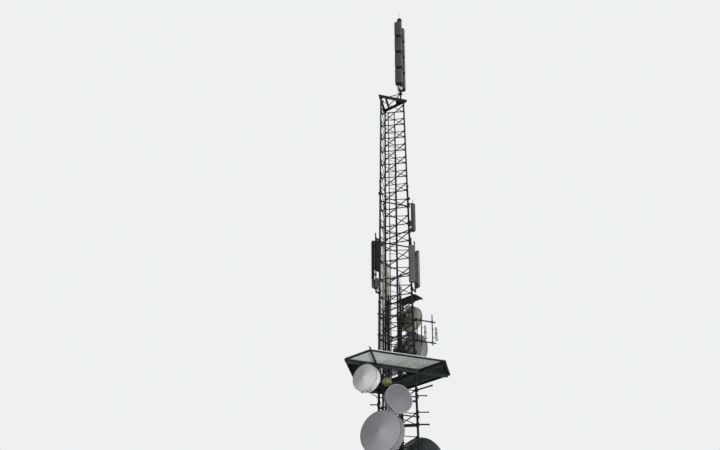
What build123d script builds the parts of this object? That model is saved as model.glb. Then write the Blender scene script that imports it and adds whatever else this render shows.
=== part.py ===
from build123d import *
import math
import os

# Three-legged lattice tower, in millimetres, +Z up.
# The tower axis stands at the middle of the three legs. The front face is parallel to X, on the -Y side.
# Every piece is built about the tower axis and then moved, so that the origin lies under the front left leg.

# Lattice trunk
FOOT_CIRCLE_RADIUS = 1362.0
LEG_TAPER = 0.02065
TRUNK_HEIGHT = 33900.0
SECTION_JOINTS = [11400.0, 22940.0, 29170.0]
LACING_BARS = [18, 22, 14, 13]
LEG_DIAMETERS = [114.3, 101.6, 88.9, 76.1]
BRACE_WIDTH = 38.0
BRACE_DEPTH = 30.0
JOINT_FLANGE_OVERHANG = 18.0
JOINT_FLANGE_HEIGHT = 44.0
SEAT = 0.3
BAR_SIDES = 12
THIN_BAR_SIDES = 8

# Feet
BASE_PLATE_SIDE = 420.0
BASE_PLATE_HEIGHT = 32.0
ANCHOR_CIRCLE = 300.0
ANCHOR_COUNT = 4
ANCHOR_HOLE = 33.0
FOOT_RIB_HEIGHT = 180.0
FOOT_RIB_THICKNESS = 12.0
FOOT_RIB_REACH = 120.0
FOOT_RIB_TOE = 20.0
FOOT_RIB_COUNT = 4

# Climbing ladder and feeder cables inside the trunk. Feeders: diameter, and height above the platform
LADDER_WIDTH = 350.0
LADDER_X = -15.0
LADDER_Y = -220.0
LADDER_RAIL = 40.0
LADDER_DEPTH = 20.0
LADDER_FOOT = 300.0
LADDER_HEAD_DROP = 700.0
RUNG_PITCH = 380.0
RUNG_HEIGHT = 24.0
LADDER_BRACKET_WIDTH = 40.0
LADDER_BRACKET_HEIGHT = 24.0
LADDER_BRACKET_INSET = 25.0
LADDER_BRACKET_STEP = 4
BUNDLE_DIAMETER = 60.0
BUNDLE_HEAD_DROP = 1300.0
FEEDER_FOOT = 400.0
FEEDER_PITCH = 56.0
FEEDERS_LEFT = [(40.0, 7500.0), (40.0, 8300.0), (28.0, 8500.0), (28.0, 5300.0), (40.0, 4700.0)]
FEEDERS_RIGHT = [(40.0, 3000.0), (40.0, 2400.0), (40.0, 1200.0), (28.0, 3100.0)]

# Head frame that carries the antenna pole
HEAD_OVERHANG = 168.0
HEAD_BEAM_WIDTH = 90.0
HEAD_BEAM_HEIGHT = 110.0
CROSS_BEAM_WIDTH = 68.0
CROSS_BEAM_BEARING = 150.0
CROSS_BEAM_OFFSET = 118.0
CORNER_PLATE_SIDE = 640.0
CORNER_PLATE_HEIGHT = 12.0

# Antenna pole with its panels, beacon and rod
POLE_INSET_X = 241.0
POLE_INSET_Y = 195.0
POLE_DIAMETER = 76.1
POLE_LENGTH = 4598.0
POLE_FLANGE_DIAMETER = 190.0
POLE_FLANGE_HEIGHT = 16.0
STRUT_COLLAR_RISE = 420.0
STRUT_DIAMETER = 42.0
STRUT_FOOT_SPAN = 330.0
STRUT_PAD = 90.0
STRUT_PAD_HEIGHT = 10.0
BAY_COUNT = 4
BAY_PITCH = 955.0
PANEL_HEIGHT = 800.0
PANEL_WIDTH = 350.0
PANEL_DEPTH = 200.0
PANEL_CHAMFER = 60.0
PANEL_REACH = 275.0
PANEL_BEARING = 234.0
BRACKET_SPREAD = 440.0
BRACKET_HEIGHT = 50.0
BRACKET_ARM_WIDTH = 60.0
JAW_WALL = 24.0
BEACON_STEM_DIAMETER = 110.0
BEACON_STEM_HEIGHT = 200.0
BEACON_DIAMETER = 250.0
BEACON_HEIGHT = 190.0
BEACON_SIDES = 16
BEACON_DOME_ANGLES = [0.0, 30.0, 60.0]
ROD_DIAMETER = 16.0
ROD_LENGTH = 390.0

# Clamps and heavy cross bars on the legs. Rises are heights above the platform
CLAMP_RISE = 8600.0
CLAMP_WALL = 28.0
CLAMP_HEIGHT = 130.0
CLAMP_LUG_REACH = 45.0
CLAMP_LUG_WIDTH = 70.0
CLAMP_LUG_HEIGHT = 90.0
BAR_DIAMETER = 60.3
BAR_OVERHANG = 40.0
FRONT_BAR_RISES = [8150.0, 6000.0]
RIGHT_BAR_RISES = [7000.0, 4850.0]

# Upper right antenna
UPPER_ANTENNA_DIAMETER = 210.0
UPPER_ANTENNA_HEIGHT = 1410.0
UPPER_ANTENNA_RISE = 6880.0
UPPER_ANTENNA_REACH = 215.0
UPPER_SPIKE_DIAMETER = 20.0
UPPER_SPIKE_HEIGHT = 240.0
UPPER_PLATE_HEIGHT = 40.0
UPPER_PLATE_WIDTH = 110.0

# Sector panels
SECTOR_HEIGHT = 1830.0
SECTOR_WIDTH = 276.0
SECTOR_DEPTH = 120.0
SECTOR_CHAMFER = 30.0
SHORT_SECTOR_HEIGHT = 1500.0
SECTOR_RISE = 5970.0
SECTOR_PIPE_DIAMETER = 60.3
SECTOR_PIPE_ABOVE = 470.0
SECTOR_PIPE_BELOW = {"right": 2110.0, "left": 2490.0}
SECTOR_PIPE_TO_PANEL = 70.0
SECTOR_ARM_WIDTH = 50.0
SECTOR_ARM_HEIGHT = 60.0
SECTOR_LINK_INSET = 200.0
RADIO_UNIT_SIZE = (220.0, 130.0, 420.0)
RADIO_UNIT_DROP = 1870.0
RADIO_UNIT_BEARINGS = [300.0, 120.0]
# Pipes of each side: leg, arm bearing, reach, and the bearing and height of each panel on the pipe
SECTOR_PIPES = {
    "right": [
        (330.0, 259.0, 165.0, [(259.0, SECTOR_HEIGHT)]),
        (330.0, 22.6, 257.0, [(22.6, SECTOR_HEIGHT)]),
    ],
    "left": [(210.0, 194.0, 215.0, [(165.0, SECTOR_HEIGHT), (290.0, SHORT_SECTOR_HEIGHT)])],
}

# Upper ice guard beside the right face
GUARD_RISE = 3660.0
GUARD_OUT = 560.0
GUARD_ALONG = 1000.0
GUARD_SHIFT = -380.0
GUARD_THICKNESS = 30.0
GUARD_BEAM = 50.0

# Side arms with dipoles. The ends of an upright pole pass the lower and the upper arm by these lengths
ARM_RISES = [2400.0, 1400.0]
ARM_DIAMETER = 60.3
ARM_LEFT = -910.0
ARM_RIGHT = 1790.0
OUTER_POLE_X = 1616.0
OUTER_POLE_ENDS = (150.0, 320.0)
INNER_POLE_X = 1104.0
INNER_POLE_ENDS = (200.0, 120.0)
ARM_TIE_X = 903.0
ARM_POLE_DIAMETER = 48.3
DIPOLE_REACH = 150.0
DIPOLE_DIAMETER = 22.0
DIPOLE_FOOT_RISE = 100.0
DIPOLE_LENGTH = 660.0
STANDOFF_DIAMETER = 18.0
STANDOFF_INSET = 120.0

# Platform
PLATFORM_HEIGHT = 19900.0
PLATFORM_BEAM_WIDTH = 60.0
PLATFORM_BEAM_HEIGHT = 90.0
PLATFORM_HALF_SPAN = 2400.0
EDGE_WIDTH = 50.0
EDGE_HEIGHT = 70.0
DECK_HEIGHT = 32.0
DECK_BAND = 24.0
DECK_BEARERS = 9
DECK_BEARER_WIDTH = 14.0
DECK_JOINT = 8.0

# Dishes on a leg: name, aperture, depth, rise above the platform, bearing, leg, arm bearing, arm reach
LEG_DISHES = [
    ("dish_left", 1200.0, 520.0, -800.0, 218.8, 210.0, 164.4, 254.0),
    ("dish_small", 400.0, 130.0, -900.0, 250.0, 210.0, 331.3, 344.0),
    ("dish_large", 1900.0, 620.0, -3400.0, 220.8, 210.0, 304.3, 550.0),
]
# Dishes on a face: name, aperture, depth, rise above the platform, bearing, face, place along it
FACE_DISHES = [
    ("dish_middle", 1250.0, 430.0, -1700.0, 278.8, "front", -291.0),
    ("dish_upper_right", 1200.0, 480.0, 2900.0, 28.0, "right", -100.0),
    ("dish_lower_right", 1800.0, 620.0, 1370.0, 28.0, "right", 60.0),
    ("dish_rear_right", 1900.0, 620.0, -3700.0, 50.4, "right", -600.0),
]
DISH_RIM = 24.0
DISH_RIM_HEIGHT = 40.0
DISH_RADOME_RISE = 0.07
DISH_CROWN_SHARE = 0.4
DISH_HUB_SHARE = 0.28
DISH_HUB_DEPTH = 60.0
DISH_BACK_SHARE = 0.42
DISH_SHOULDER_DEPTH = 0.62
DISH_SHOULDER_RADIUS = 0.7
DISH_SIDES = 20
DISH_LINK = 70.0
DISH_LINK_WIDTH = 120.0
DISH_LINK_HEIGHT = 160.0
DISH_PIPE_DIAMETER = 88.9
DISH_PIPE_OVERHANG = 120.0
DISH_ARM_SPREAD = 900.0
DISH_ARM_SIZE = 60.0

# Short stub arms: leg angle, bearing, depth below the platform, length, diameter
STUB_ARMS = [
    (330.0, -57.0, 900.0, 820.0, 70.0),
    (330.0, -19.0, 1150.0, 430.0, 50.0),
    (330.0, -19.0, 1900.0, 480.0, 50.0),
    (330.0, -19.0, 2450.0, 480.0, 70.0),
    (210.0, 161.0, 1800.0, 340.0, 50.0),
]
STUB_CAP = 14.0

# Values that follow from the sizes above
FRONT_LEFT, FRONT_RIGHT, REAR = 210.0, 330.0, 90.0
FACE_TURNS = {"front": 0.0, "right": 120.0, "left": 240.0}
HALF_FACE = math.sqrt(3) / 2
LACING_FOOT = BASE_PLATE_HEIGHT + FOOT_RIB_HEIGHT
SECTION_FOOTS = [LACING_FOOT] + SECTION_JOINTS
SECTION_HEADS = SECTION_JOINTS + [TRUNK_HEIGHT]
ORIGIN_SHIFT = Pos(FOOT_CIRCLE_RADIUS * HALF_FACE, FOOT_CIRCLE_RADIUS / 2, 0)
HEAD_TIP_RADIUS = FOOT_CIRCLE_RADIUS - LEG_TAPER * TRUNK_HEIGHT + HEAD_OVERHANG
HEAD_TOP = TRUNK_HEIGHT + HEAD_BEAM_HEIGHT
PLATE_TOP = HEAD_TOP + CORNER_PLATE_HEIGHT
LADDER_HEAD = TRUNK_HEIGHT - LADDER_HEAD_DROP
POLE_X = HEAD_TIP_RADIUS * HALF_FACE - POLE_INSET_X
POLE_Y = POLE_INSET_Y - HEAD_TIP_RADIUS / 2
POLE_TOP = PLATE_TOP + POLE_LENGTH
UPPER_ANTENNA_FOOT = PLATFORM_HEIGHT + UPPER_ANTENNA_RISE
SECTOR_TOP = PLATFORM_HEIGHT + SECTOR_RISE
ARM_HEIGHTS = [PLATFORM_HEIGHT + rise for rise in ARM_RISES]


def circle_radius(z):
    """Radius of the circle through the three leg axes at height z."""
    return FOOT_CIRCLE_RADIUS - LEG_TAPER * z


def lacing_levels():
    """Heights at which the lacing meets the legs, at an equal pitch within each section."""
    levels = []
    for foot, head, bars in zip(SECTION_FOOTS, SECTION_HEADS, LACING_BARS):
        rise = (head - foot) / bars
        levels += [foot + rise * (number + 0.5) for number in range(bars)]
    return levels


def clear_level(z):
    """Height nearest to z that lies midway between two nodes of the lacing, away from the leg joints."""
    middles = []
    for foot, head, bars in zip(SECTION_FOOTS, SECTION_HEADS, LACING_BARS):
        middles += [foot + (head - foot) * number / bars for number in range(1, bars)]
    return min(middles, key=lambda middle: abs(middle - z))


def leg_diameter(z):
    """Outer diameter of the leg tube at height z."""
    for head, diameter in zip(SECTION_HEADS, LEG_DIAMETERS):
        if z < head:
            return diameter
    return LEG_DIAMETERS[-1]


def heading(angle):
    """Level unit vector at an angle from +X."""
    turn = math.radians(angle)
    return Vector(math.cos(turn), math.sin(turn), 0)


def leg_point(angle, z):
    """Point on a leg's axis."""
    return heading(angle) * circle_radius(z) + Vector(0, 0, z)


def face_offset(underside, half_depth):
    """Distance from the tower axis to the middle of a body that lies outside the legs of one face."""
    return circle_radius(underside) / 2 + leg_diameter(underside) / 2 + SEAT + half_depth


def flat_sided(diameter, sides):
    """Section of a bar drawn with few flat sides, one of them facing +X; the diameter is across the flats."""
    corner = diameter / 2 / math.cos(math.pi / sides)
    points = [heading((number + 0.5) * 360 / sides) * corner for number in range(sides)]
    return Polygon(*[(point.X, point.Y) for point in points], align=None)


def bar_between(start, end, diameter, sides=BAR_SIDES, facing=None):
    """Pipe or rod from one point to another, with a flat that faces a given direction."""
    run = Vector(end) - Vector(start)
    if facing is None:
        facing = Vector(1, 0, 0) if abs(run.Z) > run.length / 2 else Vector(0, 0, 1)
    standing = Plane(origin=start, x_dir=facing, z_dir=run)
    return standing * extrude(flat_sided(diameter, sides), run.length)


def leg_bar(angle, low, high, diameter):
    """Stretch of a leg between two heights."""
    return bar_between(leg_point(angle, low), leg_point(angle, high), diameter, facing=heading(angle))


def beam_between(start, end, width, height):
    """Level rectangular beam from one point to another."""
    run = Vector(end) - Vector(start)
    lying = Plane(origin=start, x_dir=run, z_dir=(0, 0, 1))
    return lying * Box(run.length, width, height, align=(Align.MIN, Align.CENTER, Align.CENTER))


def strip(start, end, width):
    """Flat rectangle in a plane, from one point to another."""
    run = Vector(*end) - Vector(*start)
    middle = (Vector(*start) + Vector(*end)) * 0.5
    turn = math.degrees(math.atan2(run.Y, run.X))
    return Pos(middle.X, middle.Y) * Rot(0, 0, turn) * Rectangle(run.length, width)


def leg_envelope(angle, low, high):
    """Space that a leg needs between two heights, with its flanges where a joint is near."""
    diameter = leg_diameter((low + high) / 2) + 2 * SEAT
    if any(low - JOINT_FLANGE_HEIGHT < joint < high + JOINT_FLANGE_HEIGHT for joint in SECTION_JOINTS):
        diameter += 2 * JOINT_FLANGE_OVERHANG
    return leg_bar(angle, low, high, diameter)


def jaws(diameter, height):
    """Square block with a square hole set on edge, the two V jaws that grip a pole."""
    side = diameter + 2 * SEAT
    outer = 2 * (side / math.sqrt(2) + JAW_WALL)
    return Box(outer, outer, height), Rot(0, 0, 45) * Box(side, side, 2 * height)


def leg(angle):
    """One leg: a tube stack with a bolted flange pair at each joint."""
    foot = 0
    pieces = []
    for head, diameter in zip(SECTION_HEADS, LEG_DIAMETERS):
        if head == TRUNK_HEIGHT:
            head += diameter
        else:
            flange = diameter + 2 * JOINT_FLANGE_OVERHANG
            half = JOINT_FLANGE_HEIGHT / 2
            pieces.append(leg_bar(angle, head - half, head + half, flange))
        pieces.append(leg_bar(angle, foot, head, diameter))
        foot = head
    slab = Pos(0, 0, BASE_PLATE_HEIGHT) * Box(
        4 * FOOT_CIRCLE_RADIUS, 4 * FOOT_CIRCLE_RADIUS, TRUNK_HEIGHT - BASE_PLATE_HEIGHT,
        align=(Align.CENTER, Align.CENTER, Align.MIN),
    )
    return Part() + pieces & slab


def foot_rib(angle, turn):
    """Upright rib from the foot plate to one flat of the leg, parallel to the leaning leg."""
    inner = leg_diameter(0) / 2 + SEAT
    toe = BASE_PLATE_HEIGHT + FOOT_RIB_TOE
    profile = Polygon(
        (inner, BASE_PLATE_HEIGHT / 2), (inner + FOOT_RIB_REACH, BASE_PLATE_HEIGHT / 2),
        (inner + FOOT_RIB_REACH, toe), (inner, BASE_PLATE_HEIGHT + FOOT_RIB_HEIGHT), align=None,
    )
    rib = Rot(90, 0, 0) * extrude(profile, FOOT_RIB_THICKNESS / 2, both=True)
    lean = leg_point(angle, TRUNK_HEIGHT) - leg_point(angle, 0)
    return Plane(origin=leg_point(angle, 0), x_dir=heading(angle), z_dir=lean) * Rot(0, 0, turn) * rib


def base_plate(angle):
    """Square foot plate with anchor holes and four ribs that meet the leg."""
    plate = Box(BASE_PLATE_SIDE, BASE_PLATE_SIDE, BASE_PLATE_HEIGHT,
                align=(Align.CENTER, Align.CENTER, Align.MIN))
    for number in range(ANCHOR_COUNT):
        turn = 360 * (number + 0.5) / ANCHOR_COUNT
        hole = Cylinder(ANCHOR_HOLE / 2, 3 * BASE_PLATE_HEIGHT)
        plate -= Pos(heading(turn) * ANCHOR_CIRCLE / 2) * hole
    placed = Pos(leg_point(angle, 0)) * Rot(0, 0, angle) * plate
    for number in range(FOOT_RIB_COUNT):
        placed += foot_rib(angle, 360 * number / FOOT_RIB_COUNT)
    return placed


def face_plane():
    """Plane of the front face, with its own X level and its own Y up the slope."""
    lean = LEG_TAPER / 2
    return Plane(origin=(0, -FOOT_CIRCLE_RADIUS / 2, 0), x_dir=(1, 0, 0), z_dir=(0, -1, lean))


def up_slope(z):
    """Distance along the slope of a face for a height z."""
    return z * math.hypot(1, LEG_TAPER / 2)


def leg_edge(z, diameter):
    """Distance across a face from its middle line to the inner side of a leg of some diameter."""
    return HALF_FACE * circle_radius(z) - diameter / 2 - SEAT


def lacing_node(number):
    """Place of a node in the plane of the front face; even nodes are on the left leg."""
    z = lacing_levels()[number]
    side = 2 * (number % 2) - 1
    return (side * leg_edge(z, leg_diameter(z)), up_slope(z))


def lacing_bar(number, width):
    """Bar from a node to the next one, longer at both ends by its width."""
    start, end = Vector(*lacing_node(number)), Vector(*lacing_node(number + 1))
    extra = (end - start).normalized() * BRACE_WIDTH
    start, end = start - extra, end + extra
    return strip((start.X, start.Y), (end.X, end.Y), width)


def bracing(section):
    """Zigzag of flat bars of one section of the front face, fused where they meet at the legs."""
    first = sum(LACING_BARS[:section])
    last = first + LACING_BARS[section]
    bars = Sketch()
    for number in range(first, min(last, sum(LACING_BARS) - 1)):
        bars += lacing_bar(number, BRACE_WIDTH)
    if last < sum(LACING_BARS):
        bars -= lacing_bar(last, BRACE_WIDTH + 2 * SEAT)
    outline = Sketch()
    for foot, head, diameter in zip(SECTION_FOOTS, SECTION_HEADS, LEG_DIAMETERS):
        low, high = leg_edge(foot, diameter), leg_edge(head, diameter)
        bottom, top = up_slope(foot), up_slope(head)
        outline += bars & Polygon((-low, bottom), (low, bottom), (high, top), (-high, top), align=None)
    return face_plane() * extrude(outline, BRACE_DEPTH / 2, both=True)


def climbing_ladder():
    """Upright ladder behind the front face, with flat brackets to its lacing."""
    rungs = int((LADDER_HEAD - LADDER_FOOT) / RUNG_PITCH)
    rail_middle = (LADDER_WIDTH - LADDER_RAIL) / 2
    outline = Sketch()
    for side in (-1, 1):
        outline += strip((side * rail_middle, LADDER_FOOT), (side * rail_middle, LADDER_HEAD), LADDER_RAIL)
    for number in range(rungs):
        height = LADDER_FOOT + (number + 0.5) * RUNG_PITCH
        outline += strip((-rail_middle, height), (rail_middle, height), RUNG_HEIGHT)
    upright = Plane(origin=(LADDER_X, LADDER_Y, 0), x_dir=(1, 0, 0), z_dir=(0, -1, 0))
    ladder = upright * extrude(outline, LADDER_DEPTH / 2, both=True)
    for number in range(LADDER_BRACKET_STEP, sum(LACING_BARS) - 2, LADDER_BRACKET_STEP):
        (left, low), (right, high) = lacing_node(number), lacing_node(number + 1)
        for side in (-1, 1):
            x = LADDER_X + side * (rail_middle - LADDER_BRACKET_INSET)
            share = (x - left) / (right - left)
            height = (low + share * (high - low)) / up_slope(1)
            if height + LADDER_BRACKET_HEIGHT > LADDER_HEAD:
                continue
            outer = -circle_radius(height) / 2 + BRACE_DEPTH / 2 + 2 * SEAT
            start, end = (x, LADDER_Y, height), (x, outer, height)
            ladder += beam_between(start, end, LADDER_BRACKET_WIDTH, LADDER_BRACKET_HEIGHT)
    return ladder


def cable_bundle():
    """Thick cable bundle between the right rail of the ladder and the lacing, beside the brackets."""
    bracket_side = (LADDER_WIDTH - LADDER_RAIL + LADDER_BRACKET_WIDTH) / 2 - LADDER_BRACKET_INSET
    x = LADDER_X + bracket_side + SEAT + BUNDLE_DIAMETER / 2
    y = LADDER_Y - LADDER_DEPTH / 2 - SEAT - BUNDLE_DIAMETER / 2
    head = TRUNK_HEIGHT - BUNDLE_HEAD_DROP
    return bar_between((x, y, FEEDER_FOOT), (x, y, head), BUNDLE_DIAMETER, facing=Vector(0, 1, 0))


def feeders(runs):
    """Feeder cables side by side on the inner side of the front face's lacing."""
    cables = []
    inner = BRACE_DEPTH / 2 + SEAT
    for number, (diameter, rise) in enumerate(runs):
        across = (number - (len(runs) - 1) / 2) * FEEDER_PITCH
        cable = extrude(flat_sided(diameter, THIN_BAR_SIDES), PLATFORM_HEIGHT + rise - FEEDER_FOOT)
        depth = -(inner + diameter / 2)
        cables.append(face_plane() * Pos(across, FEEDER_FOOT, depth) * Rot(-90, 0, 0) * cable)
    return Compound(cables)


def triangle(tip_radius):
    """Equilateral triangle with its corners over the legs."""
    corners = [heading(angle) * tip_radius for angle in (FRONT_LEFT, FRONT_RIGHT, REAR)]
    return Polygon(*[(corner.X, corner.Y) for corner in corners], align=None)


def head_frame():
    """Triangular beam frame on the leg tops, with one cross beam."""
    outer = triangle(HEAD_TIP_RADIUS)
    ring = outer - triangle(HEAD_TIP_RADIUS - 2 * HEAD_BEAM_WIDTH)
    run = 2 * HEAD_TIP_RADIUS
    middle = heading(CROSS_BEAM_BEARING) * CROSS_BEAM_OFFSET
    along = heading(CROSS_BEAM_BEARING - 90)
    start = middle - along * run
    end = middle + along * run
    ring += strip((start.X, start.Y), (end.X, end.Y), CROSS_BEAM_WIDTH) & outer
    return Pos(0, 0, TRUNK_HEIGHT) * extrude(ring, HEAD_BEAM_HEIGHT)


def corner_plate():
    """Plate on the front right corner of the head frame, where the pole stands."""
    tip = heading(FRONT_RIGHT) * HEAD_TIP_RADIUS
    along_front = tip - heading(0) * CORNER_PLATE_SIDE
    along_right = tip + heading(120) * CORNER_PLATE_SIDE
    corners = [(point.X, point.Y) for point in (tip, along_right, along_front)]
    outline = Polygon(*corners, align=None)
    return Pos(0, 0, HEAD_TOP) * extrude(outline, CORNER_PLATE_HEIGHT)


def antenna_pole():
    """Upright pole with a foot flange."""
    foot = Vector(POLE_X, POLE_Y, PLATE_TOP)
    facing = heading(PANEL_BEARING + 45)
    pole = bar_between(foot, (POLE_X, POLE_Y, POLE_TOP), POLE_DIAMETER, facing=facing)
    flange_top = foot + Vector(0, 0, POLE_FLANGE_HEIGHT)
    return pole + bar_between(foot, flange_top, POLE_FLANGE_DIAMETER, facing=facing)


def pole_struts():
    """Jaws on the pole with two raking struts down to pads on the cross beam."""
    height = PLATE_TOP + STRUT_COLLAR_RISE
    block, hole = jaws(POLE_DIAMETER, BRACKET_HEIGHT)
    struts = Pos(POLE_X, POLE_Y, height) * Rot(0, 0, PANEL_BEARING) * block
    middle = heading(CROSS_BEAM_BEARING) * CROSS_BEAM_OFFSET
    along = heading(CROSS_BEAM_BEARING - 90)
    for side in (-1, 1):
        foot = middle + along * side * STRUT_FOOT_SPAN + Vector(0, 0, HEAD_TOP + SEAT)
        pad = Pos(foot) * Rot(0, 0, CROSS_BEAM_BEARING - 90) * Box(
            STRUT_PAD, STRUT_PAD, STRUT_PAD_HEIGHT, align=(Align.CENTER, Align.CENTER, Align.MIN))
        start = foot + Vector(0, 0, STRUT_DIAMETER / 2)
        struts += pad + bar_between(start, (POLE_X, POLE_Y, height), STRUT_DIAMETER, THIN_BAR_SIDES)
    return struts - Pos(POLE_X, POLE_Y, height) * Rot(0, 0, PANEL_BEARING) * hole


def bay_middle(bay):
    """Middle height of one bay of broadcast panels."""
    return POLE_TOP - (BAY_COUNT - bay - 0.5) * BAY_PITCH


def prism_panel(width, depth, height, chamfer):
    """Upright antenna panel with its face towards +X and bevelled front edges."""
    half = width / 2
    front = depth / 2
    outline = Polygon(
        (-front, -half), (front - chamfer, -half), (front, chamfer - half),
        (front, half - chamfer), (front - chamfer, half), (-front, half), align=None,
    )
    return extrude(outline, height / 2, both=True)


def broadcast_panels(bearing):
    """One column of broadcast panels on the pole."""
    panels = []
    for bay in range(BAY_COUNT):
        panel = prism_panel(PANEL_WIDTH, PANEL_DEPTH, PANEL_HEIGHT, PANEL_CHAMFER)
        place = Vector(POLE_X, POLE_Y, bay_middle(bay)) + heading(bearing) * PANEL_REACH
        panels.append(Pos(place) * Rot(0, 0, bearing) * panel)
    return Compound(panels)


def broadcast_brackets():
    """Jaws with an arm to the panel on each side, two for each bay."""
    brackets = []
    arm_length = 2 * (PANEL_REACH - PANEL_DEPTH / 2 - SEAT)
    block, hole = jaws(POLE_DIAMETER, BRACKET_HEIGHT)
    for bay in range(BAY_COUNT):
        for side in (-1, 1):
            height = bay_middle(bay) + side * BRACKET_SPREAD / 2
            arm = Box(arm_length, BRACKET_ARM_WIDTH, BRACKET_HEIGHT)
            bracket = block + arm - hole
            brackets.append(Pos(POLE_X, POLE_Y, height) * Rot(0, 0, PANEL_BEARING) * bracket)
    return Compound(brackets)


def ring_points(radius, height, sides):
    """Corners of a level ring with few sides; the radius is that of the circle inside it."""
    corner = radius / math.cos(math.pi / sides)
    return [heading((number + 0.5) * 360 / sides) * corner + Vector(0, 0, height) for number in range(sides)]


def stacked(stations, sides):
    """Solid with few flat sides that passes through rings given as height and radius."""
    rings = [ring_points(radius, height, sides) for height, radius in stations]
    faces = [Face(Wire.make_polygon(rings[0])), Face(Wire.make_polygon(rings[-1]))]
    for lower, upper in zip(rings, rings[1:]):
        for number in range(sides):
            after = (number + 1) % sides
            faces.append(Face(Wire.make_polygon([lower[number], lower[after], upper[after], upper[number]])))
    return Solid(Shell(faces))


def beacon():
    """Domed obstruction light on a short stem."""
    stem = stacked([(0, BEACON_STEM_DIAMETER / 2), (BEACON_STEM_HEIGHT, BEACON_STEM_DIAMETER / 2)], BAR_SIDES)
    dome = BEACON_DIAMETER / 2
    wall = BEACON_HEIGHT - dome
    stations = [(0, dome)]
    for rise in BEACON_DOME_ANGLES:
        turn = math.radians(rise)
        stations.append((wall + dome * math.sin(turn), dome * math.cos(turn)))
    stations.append((BEACON_HEIGHT, ROD_DIAMETER))
    light = Pos(0, 0, BEACON_STEM_HEIGHT) * stacked(stations, BEACON_SIDES)
    return Pos(POLE_X, POLE_Y, POLE_TOP) * (stem + light)


def lightning_rod():
    """Thin rod on top of the beacon."""
    foot = Vector(POLE_X, POLE_Y, POLE_TOP + BEACON_STEM_HEIGHT + BEACON_HEIGHT)
    return bar_between(foot, foot + Vector(0, 0, ROD_LENGTH), ROD_DIAMETER, THIN_BAR_SIDES)


def leg_clamp(angle):
    """Half collar with a lug on the outer side of one leg."""
    height = PLATFORM_HEIGHT + CLAMP_RISE
    diameter = leg_diameter(height) + 2 * CLAMP_WALL
    outer_side = Pos(leg_point(angle, height)) * Rot(0, 0, angle)
    lug_reach = diameter / 2 + CLAMP_LUG_REACH
    from_axis = (Align.MIN, Align.CENTER, Align.CENTER)
    clamp = leg_bar(angle, height - CLAMP_HEIGHT / 2, height + CLAMP_HEIGHT / 2, diameter)
    clamp += outer_side * Box(lug_reach, CLAMP_LUG_WIDTH, CLAMP_LUG_HEIGHT, align=from_axis)
    clamp &= outer_side * Box(2 * lug_reach, 2 * lug_reach, 2 * CLAMP_HEIGHT, align=from_axis)
    return clamp - leg_envelope(angle, height - CLAMP_HEIGHT, height + CLAMP_HEIGHT)


def leg_clamps():
    """The half collars of the three legs."""
    return Compound([leg_clamp(angle) for angle in (FRONT_LEFT, FRONT_RIGHT, REAR)])


def face_bar(turn, height):
    """Level round bar that lies against the outer side of two legs."""
    half = HALF_FACE * circle_radius(height) + BAR_OVERHANG
    offset = -face_offset(height - BAR_DIAMETER / 2, BAR_DIAMETER / 2)
    return Rot(0, 0, turn) * bar_between((-half, offset, height), (half, offset, height), BAR_DIAMETER)


def mounting_bars():
    """Heavy level bars across the front and right faces."""
    bars = [face_bar(FACE_TURNS["front"], PLATFORM_HEIGHT + rise) for rise in FRONT_BAR_RISES]
    bars += [face_bar(FACE_TURNS["right"], PLATFORM_HEIGHT + rise) for rise in RIGHT_BAR_RISES]
    return Compound(bars)


def upper_antenna_axis(height):
    """Point on the axis of the upper right antenna."""
    middle = UPPER_ANTENNA_FOOT + UPPER_ANTENNA_HEIGHT / 2
    foot = leg_point(FRONT_RIGHT, middle) + heading(FRONT_RIGHT) * UPPER_ANTENNA_REACH
    return Vector(foot.X, foot.Y, height)


def upper_antenna():
    """Drum antenna with a spike on top."""
    foot = UPPER_ANTENNA_FOOT
    head = foot + UPPER_ANTENNA_HEIGHT
    drum = bar_between(upper_antenna_axis(foot), upper_antenna_axis(head), UPPER_ANTENNA_DIAMETER)
    tip = upper_antenna_axis(head + UPPER_SPIKE_HEIGHT)
    return drum + bar_between(upper_antenna_axis(head), tip, UPPER_SPIKE_DIAMETER, THIN_BAR_SIDES)


def upper_antenna_arms():
    """Plates from the leg that hold the upper antenna under its foot and round its spike."""
    arms = []
    for side, height in ((-1, UPPER_ANTENNA_FOOT), (1, UPPER_ANTENNA_FOOT + UPPER_ANTENNA_HEIGHT)):
        middle = height + side * (SEAT + UPPER_PLATE_HEIGHT / 2)
        start = leg_point(FRONT_RIGHT, middle)
        end = upper_antenna_axis(middle) + heading(FRONT_RIGHT) * UPPER_PLATE_WIDTH / 2
        arm = beam_between(start, end, UPPER_PLATE_WIDTH, UPPER_PLATE_HEIGHT)
        arm -= leg_envelope(FRONT_RIGHT, middle - UPPER_PLATE_HEIGHT, middle + UPPER_PLATE_HEIGHT)
        if side > 0:
            low = upper_antenna_axis(middle - UPPER_PLATE_HEIGHT)
            high = upper_antenna_axis(middle + UPPER_PLATE_HEIGHT)
            arm -= bar_between(low, high, UPPER_SPIKE_DIAMETER + 2 * SEAT, THIN_BAR_SIDES)
        arms.append(max(arm.solids(), key=lambda solid: solid.volume))
    return Compound(arms)


def sector_pipe_axis(leg_angle, arm_bearing, reach):
    """Foot of the axis of a sector pipe that stands off a leg."""
    axis = leg_point(leg_angle, SECTOR_TOP - SECTOR_HEIGHT / 2) + heading(arm_bearing) * reach
    return Vector(axis.X, axis.Y, 0)


def sector_panel(pipe, bearing, height):
    """One sector antenna panel that faces along its bearing in front of its pipe."""
    panel = prism_panel(SECTOR_WIDTH, SECTOR_DEPTH, height, SECTOR_CHAMFER)
    place = pipe + heading(bearing) * (SECTOR_PIPE_TO_PANEL + SECTOR_DEPTH / 2)
    return Pos(place.X, place.Y, SECTOR_TOP - height / 2) * Rot(0, 0, bearing) * panel


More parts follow.
